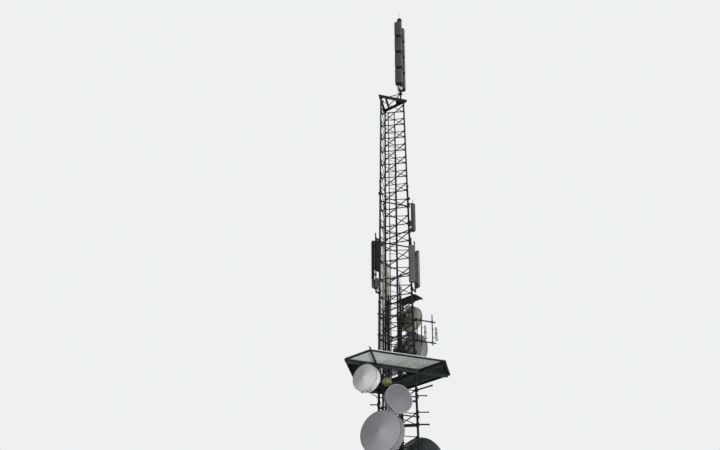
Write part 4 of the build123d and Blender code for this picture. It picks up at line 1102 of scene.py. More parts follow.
@dataclass
class HeadFrame:
    """Triangle of rolled channels on the leg tops with one cross channel, cap plates and bolts."""

    tip: float = 0.829965
    foot: float = 33.9
    channel: tuple[float, float, float] = (0.090, 0.110, 0.008)
    cross_width: float = 0.068
    cross_bearing: float = 150.0
    cross_offset: float = 0.118

    def build(self) -> None:
        """Makes the frame."""
        skin, (width, height, wall), out = Skin(), self.channel, heading(self.cross_bearing)
        inward, up = (channel(width, height, wall) + (width / 2, height / 2)).T[:, None, :, None]
        corners = np.stack([heading(angle) for angle in TRUNK.legs])
        skin.grid(corners[:, None] * (self.tip - 2 * inward[0]) + (self.foot + up[0]) * UP, closed=True)
        middle = out * self.cross_offset + UP * (self.foot + height / 2)
        along = heading(self.cross_bearing - 90)
        reach = (self.tip / 2 - wall - self.cross_offset * math.cos(math.radians(120))) / HALF_FACE
        skin.block(middle, along, -reach, reach,
                   channel(height - 2 * wall - 0.001, self.cross_width, 0.007)[:, ::-1] * (1, -1))
        for angle in TRUNK.legs:
            self.leg_cap(skin, angle, height)
        skin.paint = 1
        for way in (-1, 1):
            for sign in (-1, 1):
                for up in (UP, -UP):
                    skin.bolts(middle + along * way * (reach - 0.03) + out * sign * 0.015 + up * height / 2, up, 0.024,
                               0.010)
        skin.piece("head_channels", Slot.DARK_STEEL, (STEEL, FASTENER), ("head_frame",))

    def leg_cap(self, skin: Skin, angle: float, height: float) -> None:
        """Cap plate between a leg's end and the channels, stiffened by plates in the corner.

        Args:
            skin: surfaces to add to.
            angle: bearing of the leg.
            height: height of the channels.
        """
        top = TRUNK.leg(angle, self.foot - 0.0045)
        skin.paint = 0
        skin.lathe(top, UP, ((0.0385, -0.0375), (0.075, -0.0372), (0.075, -0.0275), (0.0385, -0.027)), 20)
        for turn, across in ((150.0, 240.0), (210.0, 120.0)):
            foot = heading(angle) * (self.tip - 0.19) + heading(angle + turn) * 0.12 + UP * (self.foot + height / 2)
            skin.plates(box(0.072, height - 0.018), foot, heading(angle + across), UP, 0.008)
        skin.paint = 1
        for turn in (45, 135, 225, 315):
            skin.bolts(top - UP * 0.037 + heading(angle + turn) * 0.060, -UP, 0.018, 0.009)


@dataclass
class Mast:
    """Antenna pole with its foot, raking struts, light and rod."""

    place: tuple[float, float, float] = (0.47777, -0.21998, 0.0)
    foot: float = 34.022
    top: float = 38.62
    diameter: float = MAST_PIPE
    flange: tuple[float, float] = (0.190, 0.016)
    seam: float = 2.3
    jaw_bearing: float = 234.0
    collar_rise: float = 0.420
    strut: float = 0.042
    strut_span: float = 0.330
    strut_bearing: float = 150.0
    strut_offset: float = 0.118
    stem: tuple[float, float] = (0.110, 0.200)
    light: tuple[float, float] = (0.250, 0.190)
    rod: tuple[float, float] = (0.016, 0.390)

    @property
    def axis(self) -> Array:
        """Point of the pole's axis at height 0."""
        return np.array(self.place)

    def build(self) -> None:
        """Makes the pole, the struts, the light and the rod."""
        self.pole()
        self.struts()
        self.beacon()
        self.air_terminal()

    def pole(self) -> None:
        """Round tube on a bolted flange with four gussets."""
        skin, base, (width, plate), half = Skin(), self.axis + UP * self.foot, self.flange, self.diameter / 2
        edge, seam = width / 2, self.seam
        skin.lathe(base, UP, ((edge, 0.0), (edge, plate), (half + 0.006, plate), (half, plate + 0.008), (half, seam),
                              (half + 0.002, seam + 0.002), (half + 0.002, seam + 0.01), (half, seam + 0.012),
                              (half, self.top - self.foot)), 24)
        gusset = np.array(((half - 0.002, plate - 0.001), (edge - 0.008, plate - 0.001), (edge - 0.008, plate + 0.014),
                           (half - 0.002, plate + 0.13)))
        skin.paint = 1
        for turn in (15.0, 105.0, 195.0, 285.0):
            skin.plates(gusset, base, heading(turn), UP, 0.008)
            skin.bolts(base + UP * plate + heading(turn + 45) * 0.072, UP, 0.024, 0.013)
        skin.piece("pole_tube", Slot.DARK_STEEL, (STEEL, ZINC), ("antenna_pole",))

    def struts(self) -> None:
        """Jaws on the pole and two round struts with flattened feet on pads."""
        skin, out, along = Skin(), heading(self.strut_bearing), heading(self.strut_bearing - 90)
        collar = self.axis + UP * (self.foot + self.collar_rise)
        Clamp(self.diameter).build(skin, collar, self.jaw_bearing)
        for side in (-1, 1):
            foot = out * self.strut_offset + UP * (self.foot - 0.0117) + along * side * self.strut_span
            start = foot + UP * (0.012 + self.strut / 2)
            way = unit(collar - start)
            skin.sweep([start + way * 0.02, start + way * 0.06, start + way * 0.12, collar - way * 0.115,
                        collar - way * 0.075], disc(self.strut / 2), UP, (0.62, 0.7, 1.0, 1.0, 0.8))
            skin.plates(box(0.09, 0.09, 0.008), foot + UP * 0.005, along, out, 0.0098)
            skin.plates(box(0.07, 0.05, 0.006), foot + UP * 0.034, along, UP, 0.012)
            for sign in (-1, 1):
                skin.bolts(foot + UP * 0.010 + out * sign * 0.030, UP, 0.019, 0.010)
            skin.plates(box(0.07, 0.045, 0.008), collar - way * 0.088, way, UP, 0.014)
        skin.piece("raking_struts", Slot.DARK_STEEL, (ZINC,), ("pole_struts",))

    def beacon(self) -> None:
        """Obstruction light: stem with a cable gland, cast base, ribbed lens r = R + rib * sin(z), and cap."""
        skin, base = Skin(), self.axis + UP * self.top
        radius, tall = self.stem[0] / 2, self.stem[1]
        stem = both_ends(tall, (0.0, radius), (0.012, radius), (0.02, radius * 0.8))
        skin.lathe(base, UP, [station[::-1] for station in stem], 20)
        skin.bolts(base + UP * 0.012 + np.array([heading(t) * radius * 0.9 for t in (0, 90, 180, 270)]), UP, 0.012,
                   0.007)
        lamp, wide, high = base + UP * tall, self.light[0] / 2, self.light[1]
        skin.lathe(lamp, UP, ((wide * 0.7, 0.0), (wide, 0.006), (wide, 0.034), (wide * 0.92, 0.040)), 28)
        skin.paint = 1
        rise = np.linspace(0.039, 0.100, 27)
        skin.lathe(lamp, UP, np.stack((wide * 0.88 + 0.004 * np.sin((rise - 0.04) * 2 * np.pi / 0.0102), rise), 1), 32)
        skin.paint = 0
        dome = [(wide * 0.92 * math.cos(t), 0.105 + (high - 0.110) * math.sin(t)) for t in
                np.radians(np.linspace(0, 80, 7))]
        skin.lathe(lamp, UP, [(wide * 0.9, 0.099), *dome, (0.014, high)], 28)
        skin.piece("obstruction_light", Slot.BEACON, (ZINC, LENS), ("beacon_light",))

    def air_terminal(self) -> None:
        """Rod that tapers from its socket to a blunt point."""
        skin, radius, tall = Skin(), self.rod[0] / 2, self.rod[1]
        foot = self.axis + UP * (self.top + self.stem[1] + self.light[1])
        skin.lathe(foot, UP, ((radius, -0.002), (radius, 0.05), (radius * 0.75, 0.056), (radius * 0.7, tall - 0.05),
                              (radius * 0.35, tall - 0.008), (0.001, tall)), 12)
        skin.piece("air_terminal", Slot.BRACKET_STEEL, (ZINC,), ("lightning_rod",))


MAST = Mast()


@dataclass
class Broadcast:
    """Two columns of broadcast panels back to back on the mast, with brackets, dark skirts and cables."""

    bays: int = 4
    pitch: float = 0.955
    height: float = 0.800
    width: float = 0.350
    depth: float = 0.200
    reach: float = 0.275
    round: float = 0.050
    spread: float = 0.440
    arm: float = 0.060
    bearings: tuple[float, float] = (234.0, 54.0)
    splitters_at: tuple[tuple[float, float, float], ...] = ((215.0, 0.20, 0.155), (262.0, 0.27, 0.125))

    def middle(self, bay: int) -> float:
        """Middle height of a bay."""
        return MAST.top - (self.bays - bay - 0.5) * self.pitch

    def build(self) -> None:
        """Makes both columns, the brackets and the cables."""
        for name, bearing in zip(("front", "rear"), self.bearings):
            skin = Skin()
            for bay in range(self.bays):
                self.panel(skin, bay, bearing)
            skin.piece(f"panel_radomes_{name}", Slot.PANEL_DARK, (RADOME_DARK, RADOME_BLACK, ZINC, RADOME_PALE),
                       (f"broadcast_panels_{name}",))
        self.brackets()
        self.splitters()

    def panel(self, skin: Skin, bay: int, bearing: float) -> None:
        """Radome with rolled edges over a dark tray, and the skirt that hides its feed below.

        Args:
            skin: surfaces to add to.
            bay: number of the bay from the lowest.
            bearing: direction that the panel faces.
        """
        (way, side), high, wide = axes(bearing), self.height, self.width
        base = MAST.axis + UP * (self.middle(bay) - high / 2)
        place, tray = base + way * (self.reach + 0.012), base + way * (self.reach - self.depth / 2 + 0.014)
        skin.paint = 0
        skin.upright(place, bearing, rounded(self.depth - 0.024, wide, self.round, 0.012),
                     both_ends(high, (0.0, 0.95), (0.006, 0.985), (0.02, 1.0)))
        skin.upright(tray, bearing, box(0.0275, wide * 0.94, 0.004), both_ends(high, (0.012, 1.0)))
        skin.paint = 3
        for sign in (-1, 1):
            skin.block(tray + side * sign * wide * 0.471, UP, 0.03, high - 0.03, box(0.034, 0.006), way)
        skin.paint = 1
        low = high - self.pitch + 0.012 if bay else -0.075
        skin.upright(place, bearing, rounded(self.depth - 0.03, wide * 0.93, self.round, 0.012, 4),
                     ((low, 0.96), (low + 0.008, 1.0), (-0.001, 1.0)))
        skin.paint = 2
        skin.connectors(place + UP * low - way * 0.03, side, 2, 0.09, 0.014, 0.011 if bay else 0.05)
        for rise in (0.1, 0.3, 0.5, 0.7):
            for sign in (-1, 1):
                skin.bolts(tray + UP * rise + side * sign * wide * 0.469, side * sign, 0.012, 0.004)

    def brackets(self) -> None:
        """Jaws and arms, two for each bay, that meet the trays of both columns."""
        skin, (run, side), inner = Skin(), axes(self.bearings[0]), self.reach - self.depth / 2 - SEAT
        for bay in range(self.bays):
            for sign in (-1, 1):
                place = MAST.axis + UP * (self.middle(bay) + sign * self.spread / 2)
                Clamp(MAST.diameter).build(skin, place, self.bearings[0])
                for way in (-run, run):
                    skin.block(place, way, 0.078, inner, channel(self.arm, 0.044, 0.005), side)
                    skin.block(place, way, inner - 0.006, inner, box(0.11, 0.048, 0.004), side)
        skin.piece("panel_clamps", Slot.BRACKET_STEEL, (ZINC,), ("broadcast_brackets",))

    def splitters(self) -> None:
        """Pale power splitters below the lowest panels, with a feed cable to each bay beside the pole."""
        skin = Skin()
        for bearing, drop, reach in self.splitters_at:
            way, side = axes(bearing)
            foot = MAST.axis + UP * (self.middle(0) - self.height / 2 - drop)
            skin.paint = 0
            skin.upright(foot + way * reach, bearing, rounded(0.06, 0.13, 0.012, 0.006, 3),
                         both_ends(0.15, (0.0, 0.96), (0.004, 1.0)))
            skin.paint = 1
            skin.connectors(foot + way * reach, side, 3, 0.035, 0.010, 0.035)
            skin.block(foot + UP * 0.075, way, reach - 0.03, 0.036, box(0.04, 0.03))
        skin.paint = 2
        for number in range(self.bays):
            way, head = heading(144.0 + 9.0 * number), self.middle(number)
            away, foot = way * (0.122 + 0.002 * number), MAST.foot + 0.01
            bend = ((1.0, head, 0.0), (0.9, head, 0.06), (0.5, head, 0.1))
            path = [away * out + UP * (level + rise) for out, level, rise in (
                *((1.0, foot, share * (head - foot)) for share in (0.0, 0.4, 0.9)), *bend)]
            skin.sweep(MAST.axis + path, disc(0.008, 8), way)
        skin.piece("power_splitters", Slot.PANEL_GREY, (RADOME_PALE, ZINC, JACKET_BLACK))


# ---------------------------------------------------------------- what the legs carry above the platform


@dataclass
class Collars:
    """Half collars with lugs on the outer sides of the legs, drawn in by bolts."""

    height: float = 28.5
    wall: float = 0.028
    tall: float = 0.130
    lug: tuple[float, float, float] = (0.045, 0.070, 0.090)

    def build(self) -> None:
        """Makes the collars: half rings from -88 to 88 degrees about each leg's bearing."""
        skin, inner, (reach, width, tall) = Skin(), TRUNK.half(self.height) + 0.0008, self.lug
        outer = inner + self.wall - 0.004
        turn = np.radians(np.linspace(-88, 88, 15))
        arc = np.stack((np.cos(turn), np.sin(turn)), axis=1)
        lug = np.array(((outer - 0.003, -tall / 2), (outer + reach, 0.02 - tall / 2), (outer + reach, tall / 2 - 0.02),
                        (outer - 0.003, tall / 2)))
        for leg in TRUNK.legs:
            middle, (way, side) = TRUNK.leg(leg, self.height), axes(leg)
            skin.plates(np.concatenate((arc * outer, arc[::-1] * inner)), middle, way, side, self.tall)
            for sign in (-1, 1):
                skin.plates(lug, middle + side * sign * (width / 2 - 0.006), way, UP, 0.010)
                for rise in (-0.04, 0.04):
                    skin.bolts(middle + side * sign * (inner + 0.012) + way * 0.014 + UP * rise, way, 0.017, 0.03)
            skin.block(middle + way * (outer + reach - 0.017), side, -0.045, 0.045, disc(0.008, 10))
        skin.piece("half_collars", Slot.BRACKET_STEEL, (ZINC,), ("leg_clamps",))


@dataclass
class CrossBars:
    """Heavy level pipes held against two legs by U-bolts and saddle plates."""

    diameter: float = ARM_PIPE
    overhang: float = 0.040
    bars: tuple[tuple[float, float], ...] = (
        (FRONT_FACE, 28.05), (FRONT_FACE, 25.90), (RIGHT_FACE, 26.90), (RIGHT_FACE, 24.75))

    def build(self) -> None:
        """Makes the four bars."""
        skin = Skin()
        for turn, z in self.bars:
            self.bar(skin, turn, z)
        skin.piece("cross_bars", Slot.DARK_STEEL, (STEEL, ZINC), ("mounting_bars",))

    def bar(self, skin: Skin, turn: float, z: float) -> None:
        """Adds one bar with its grips, built on the front face and turned.

        Args:
            skin: surfaces to add to.
            turn: turn of the face.
            z: height of the bar.
        """
        radius, out = self.diameter / 2, turned(FRONT, turn)
        half, offset = HALF_FACE * TRUNK.radius(z) + self.overhang, TRUNK.offset(z - radius, radius)
        skin.paint = 0
        skin.capped_pipe(*turned(((-half, -offset, z), (half, -offset, z)), turn), self.diameter)
        skin.paint = 1
        for angle, side in ((LEFT_LEG + turn, -1), (RIGHT_LEG + turn, 1)):
            leg_grip(skin, angle, z, out, radius + 0.012)
            skin.plates(box(0.10, 0.13, 0.01), TRUNK.beside(turn, side, z, offset) + out * (radius + 0.004),
                        turned(X, turn), UP, 0.008)


@dataclass
class DrumAntenna:
    """Glass fibre drum with domed ends and bands, and the two arms that hold it on the right leg."""

    leg: float = RIGHT_LEG
    diameter: float = 0.210
    height: float = 1.410
    foot: float = 26.78
    reach: float = 0.215
    bands: tuple[float, ...] = (0.16, 0.45, 0.95, 1.24)
    spike: tuple[float, float] = (0.020, 0.240)
    arm: tuple[float, float] = (0.110, 0.040)

    @property
    def axis(self) -> Array:
        """Point of the drum's axis at height 0."""
        return (TRUNK.leg(self.leg, self.foot + self.height / 2) + heading(self.leg) * self.reach) * LEVEL

    def build(self) -> None:
        """Makes the drum with its spike, then its arms."""
        skin, base, half, tall = Skin(), self.axis + UP * self.foot, self.diameter / 2, self.height
        bands = [(half - deep, rise + step) for rise in self.bands
                 for deep, step in ((0.002, -0.016), (0.0, -0.012), (0.0, 0.012), (0.002, 0.016))]
        skin.lathe(base, UP, ((half * 0.55, 0.0), (half * 0.86, 0.008), (half * 0.97, 0.03), (half - 0.002, 0.06),
                              *bands, (half - 0.002, tall - 0.06), (half * 0.96, tall - 0.03),
                              (half * 0.8, tall - 0.010), (half * 0.3, tall)), 32)
        skin.paint = 1
        thin, long = self.spike
        skin.lathe(base + UP * (tall - 0.002), UP, ((thin * 0.9, 0.0), (thin * 0.9, 0.03), (thin / 2, 0.034),
                                                    (thin / 2, long - 0.02), (0.002, long + 0.002)), 12)
        skin.piece("drum_radome", Slot.PANEL_DARK, (RADOME_DARK, ZINC), ("upper_antenna",))
        self.arms()

    def arms(self) -> None:
        """Two pairs of angles from end plates on the leg to a disc below the drum and a plate above it."""
        skin, (width, depth), (way, side) = Skin(), self.arm, axes(self.leg)
        for side_sign in (-1, 1):
            below = side_sign < 0
            level = self.foot + (0.0 if below else self.height) + side_sign * (SEAT + depth / 2)
            start, end, inner = TRUNK.leg(self.leg, level), self.axis + UP * level, TRUNK.half(level) + 0.008
            for across in (-1, 1):
                shift = side * across * (width / 2 - 0.012)
                skin.bars(start + way * inner + shift, end + way * (width / 2 if below else -0.016) + shift,
                          angle_bar(0.036, 0.022, 0.005))
            skin.block(start, way, inner - 0.004, inner + 0.006, box(depth * 0.98, 0.13))
            if below:
                skin.lathe(end, UP, ((0.030, -depth * 0.46), (0.030, depth * 0.46)), 16)
            else:
                skin.plates(box(0.05, width, 0.006), end - way * 0.040, way, side, depth * 0.9)
            leg_grip(skin, self.leg, level, way, 0.012)
        skin.piece("drum_arms", Slot.BRACKET_STEEL, (ZINC,), ("upper_antenna_arms",))


@dataclass
class SectorMast:
    """One pipe of sector panels: its leg, arm bearing, reach, lowest end and its panels' bearings and heights."""

    leg: float
    bearing: float
    reach: float
    foot: float
    panels: tuple[tuple[float, float], ...]

    def axis(self, top: float, height: float) -> Array:
        """Point of the pipe's axis at height 0, for panels of a top and a height."""
        return (TRUNK.leg(self.leg, top - height / 2) + heading(self.bearing) * self.reach) * LEVEL


@dataclass
class Sectors:
    """Sector panels, their pipes with arms from a leg, tilting brackets, sockets and jumpers."""

    top: float = 25.87
    height: float = 1.830
    width: float = 0.276
    depth: float = 0.120
    pipe: float = ARM_PIPE
    above: float = 0.470
    to_panel: float = 0.070
    arm: tuple[float, float] = (0.060, 0.050)
    link_inset: float = 0.200
    right: tuple[SectorMast, ...] = (
        SectorMast(RIGHT_LEG, 259.0, 0.165, 23.76, ((259.0, 1.830),)),
        SectorMast(RIGHT_LEG, 22.6, 0.257, 23.76, ((22.6, 1.830),)),
    )
    left: tuple[SectorMast, ...] = (SectorMast(LEFT_LEG, 194.0, 0.215, 23.38, ((165.0, 1.830), (290.0, 1.500))),)
    # Bearings of the panels whose pale side strips are painted highlight of their sunlit sides
    painted_highlight_bearings: tuple[float, float] = (259.0, 22.6)
    radio: tuple[float, float, float] = (0.220, 0.130, 0.420)
    radio_bearings: tuple[float, float] = (300.0, 120.0)
    radio_foot: float = 23.58

    def build(self) -> None:
        """Makes the panels and pipes of both sides, then the radio units and the jumpers."""
        for name, masts, finish, slot in (("right", self.right, RADOME_GREY, Slot.PANEL_GREY),
                                          ("left", self.left, RADOME_BLACK, Slot.PANEL_BLACK)):
            skin, steel = Skin(), Skin()
            for mast in masts:
                axis = mast.axis(self.top, self.height)
                self.mast(steel, mast, axis)
                for bearing, height in mast.panels:
                    self.panel(skin, axis, bearing, height)
                    self.brackets(steel, axis, bearing, height)
            skin.piece(f"sector_radomes_{name}", slot, (finish, ZINC, RADOME_PALE), (f"sector_panels_{name}",))
            steel.piece(f"sector_masts_{name}", Slot.BRACKET_STEEL, (ZINC, FASTENER), (f"sector_pipes_{name}",))
        self.radios(self.left[0].axis(self.top, self.height))
        self.jumpers(self.left[0].axis(self.top, self.height))

    def panel(self, skin: Skin, axis: Array, bearing: float, height: float) -> None:
        """Radome with rolled edges, end caps, side strips and a row of sockets below; on the right panels the pale side
        strips and back plate are painted highlight.

        Args:
            skin: surfaces to add to.
            axis: point of the pipe's axis.
            bearing: direction that the panel faces.
            height: height of the panel.
        """
        way, side = axes(bearing)
        place = axis + way * (self.to_panel + self.depth / 2) + UP * (self.top - height)
        skin.paint = 0
        skin.upright(place, bearing, rounded(self.depth, self.width, 0.038, 0.010),
                     both_ends(height, (0.0, 0.93), (0.006, 0.975), (0.035, 0.985), (0.036, 1.0)))
        # Pale side strips here are painted highlight of the panel's sunlit side
        skin.paint = 2 if bearing in self.painted_highlight_bearings else 0
        for sign in (-1, 1):
            edge = place + side * sign * (self.width / 2 - 0.0005) - way * 0.035
            skin.block(edge, UP, 0.05, height - 0.05, box(0.012, 0.004), way)
        # Pale back plate on the panel facing away: painted highlight of its sunlit side
        if bearing < 90:
            back = place - way * (self.depth / 2 + 0.001)
            skin.block(back, UP, 0.11, height - 0.11, box(0.004, self.width * 0.8), way)
        skin.paint = 1
        skin.connectors(place - way * 0.01, side, 6, 0.038, 0.012, 0.05)

    def mast(self, skin: Skin, mast: SectorMast, axis: Array) -> None:
        """Upright pipe with caps, and two channel arms gripped to the leg and to the pipe.

        Args:
            skin: surfaces to add to.
            mast: pipe to make.
            axis: point of the pipe's axis.
        """
        half, tall = self.pipe / 2, self.top + self.above - mast.foot
        skin.lathe(axis + UP * mast.foot, UP, ((half * 0.9, 0.0), (half, 0.003), (half, tall - 0.012),
                                               (half + 0.002, tall - 0.012), (half + 0.002, tall - 0.003),
                                               (half * 0.85, tall)), 18)
        for level in (TRUNK.clear(self.top), TRUNK.clear(mast.foot + self.link_inset)):
            start, end, inner = TRUNK.leg(mast.leg, level), axis + UP * level, TRUNK.half(level) + 0.006
            way = unit(end - start)
            skin.bars(start + way * inner, end - way * (half + 0.004), channel(*self.arm, 0.005)[:, ::-1] * (1, -1))
            skin.block(start, way, inner, inner + 0.009, box(0.12, 0.12, 0.01))
            skin.block(end, way, -half - 0.010, -half - 0.001, box(0.12, 0.10, 0.01))
            leg_grip(skin, mast.leg, level, way, 0.042)
            pipe_grip(skin, end, -way, half, 0.042, 0.005, half + 0.026)

    def brackets(self, skin: Skin, axis: Array, bearing: float, height: float) -> None:
        """Two brackets from the pipe to a panel's back: jaws, side plates and hinge bolts.

        Args:
            skin: surfaces to add to.
            axis: point of the pipe's axis.
            bearing: direction that the panel faces.
            height: height of the panel.
        """
        (way, side), half, far = axes(bearing), self.pipe / 2, self.to_panel
        for level in (self.top - self.link_inset, self.top - height + self.link_inset):
            middle = axis + UP * level
            for low, high, plate in ((half + 0.001, half + 0.008, box(0.07, 0.10, 0.008)),
                                     (-half - 0.008, -half - 0.001, box(0.05, 0.10, 0.008)),
                                     (far - 0.006, far - 0.0004, box(0.08, 0.09, 0.008))):
                skin.block(middle, way, low, high, plate)
            for out in (-side, side):
                skin.block(middle + out * 0.041, way, -half - 0.02, half + 0.018, disc(0.005, 8))
                skin.bolts(middle + out * 0.041 - way * (half + 0.008), -way, 0.016, 0.009)
                skin.block(middle + out * 0.024, way, half + 0.006, far - 0.004, box(0.05, 0.005))
                skin.bolts(middle + out * 0.0265 + way * 0.052, out, 0.016, 0.008)

    def radios(self, axis: Array) -> None:
        """Die cast radio units with cooling fins, handles and sockets on the left pipe.

        Args:
            axis: point of the pipe's axis.
        """
        skin, (width, depth, height) = Skin(), self.radio
        for bearing in self.radio_bearings:
            way, side = axes(bearing)
            place = axis + way * (self.pipe / 2 + SEAT + depth / 2) + UP * self.radio_foot
            skin.paint = 0
            skin.upright(place - way * 0.022, bearing, rounded(depth - 0.044, width, 0.01, 0.006, 3),
                         both_ends(height, (0.0, 0.97), (0.004, 1.0)))
            fins = place + side * (np.linspace(-0.46, 0.46, 15) * width)[:, None] + way * 0.042
            skin.block(fins, UP, 0.02, height - 0.02, box(0.044, 0.004), way)
            skin.paint = 1
            skin.connectors(place - way * 0.02, side, 4, 0.045, 0.012, 0.04)
            grip = place + UP * height - way * 0.02
            skin.sweep([grip + side * across + UP * rise for across, rise in (
                (-0.06, -0.003), (-0.055, 0.025), (0.055, 0.025), (0.06, -0.003))], disc(0.006, 8), way)
            for rise in (0.08, 0.34):
                skin.block(place - way * 0.0652 + UP * rise, side, -0.09, 0.09, box(0.035, 0.010))
        skin.piece("finned_radios", Slot.RADIO, (RADIO, ZINC), ("radio_units",))

    def jumpers(self, axis: Array) -> None:
        """Short black cables that loop from the left panels' sockets to the radios and into the trunk.

        Args:
            axis: point of the pipe's axis.
        """
        skin, way = Skin(), heading(300)
        start = axis + heading(165) * 0.13 + UP * (self.top - self.height - 0.045)
        for number in range(4):
            shift, drop = heading(255) * (number - 1.5) * 0.035, 0.10 + 0.03 * number
            end = (axis + way * 0.09 + heading(30) * (number - 1.5) * 0.045) * LEVEL
            skin.sweep(eased((start + shift, start + shift - UP * drop * 0.6, start + shift * 0.6 - UP * drop +
                              way * 0.06, end + UP * (self.radio_foot - 0.16),
                              end + UP * (self.radio_foot - 0.05)), 2), disc(0.007, 8), way)
        skin.piece("sector_jumpers", Slot.CABLE_BLACK, (JACKET_BLACK,))


@dataclass
class IceGuard:
    """Guard of close flat bars in an angle frame on two square tubes beside the right face."""

    turn: float = RIGHT_FACE
    top: float = 23.56
    out: float = 0.560
    along: float = 1.000
    shift: float = -0.380
    thickness: float = 0.030
    beam: float = 0.050
    bar_pitch: float = 0.030
    rod_pitch: float = 0.050

    def build(self) -> None:
        """Makes the guard, worked out on the front face and turned."""
        skin, turn, top, beam = Skin(), self.turn, self.top, self.beam
        inner = -TRUNK.offset(top - self.thickness / 2 - beam, 0.0)
        x, y, half = self.along / 2, self.out / 2, self.thickness / 2
        middle = np.array((self.shift, inner - y, top))
        corners = middle + ((-x, -y, 0), (x, -y, 0), (x, y, 0), (-x, y, 0))
        profile = (angle_bar(0.030, 0.030, 0.004) + (0.015, 0.0))[None]
        flat = np.sign(middle - corners) * LEVEL
        rings = corners[:, None] + flat[:, None] * profile[..., :1] + UP * profile[..., 1:]
        skin.grid(turned(rings, turn), closed=True)
        number = int(self.along / self.bar_pitch) - 1
        xs = self.shift + (np.arange(number) - (number - 1) / 2) * self.bar_pitch
        low = np.pad(xs[:, None], ((0, 0), (0, 2))) + (0, middle[1] - y + 0.004, top + 0.002)
        skin.across((low, low + Y * (self.out - 0.008)), turn, box(0.022, 0.004))
        rows = np.arange(middle[1] - y + 0.05, middle[1] + y - 0.03, self.rod_pitch)
        left = rows[:, None] * Y + (self.shift - x + 0.004, 0, top + 0.010)
        skin.across((left, left + X * (self.along - 0.008)), turn, disc(0.004, 6))
        reach, z = HALF_FACE * TRUNK.radius(top) + 0.040, top - half - beam / 2
        square_tube = box(beam, beam, 0.005)
        skin.across(((-reach, inner - beam / 2, z), (reach, inner - beam / 2, z)), turn, square_tube)
        for side in (-1, 1):
            x = self.shift + side * (self.along - beam) / 2
            skin.across(((x, inner - beam - 0.0005, z), (x, inner - self.out, z)), turn, square_tube)
            skin.across(((x, inner - beam - 0.001, z - 0.15), (x, inner - 0.32, z - 0.022)), turn, box(0.03, 0.006))
            skin.across(((x, inner - 0.024, z - 0.19), (x, inner - 0.024, z - 0.02)), turn, box(0.05, 0.008),
                        turned(X, turn))
        for angle in (RIGHT_LEG, REAR_LEG):
            leg_grip(skin, angle, z, turned(FRONT, turn), 0.034)
        skin.piece("guard_bars", Slot.GRATING, (GRATING,), ("upper_ice_guard",))


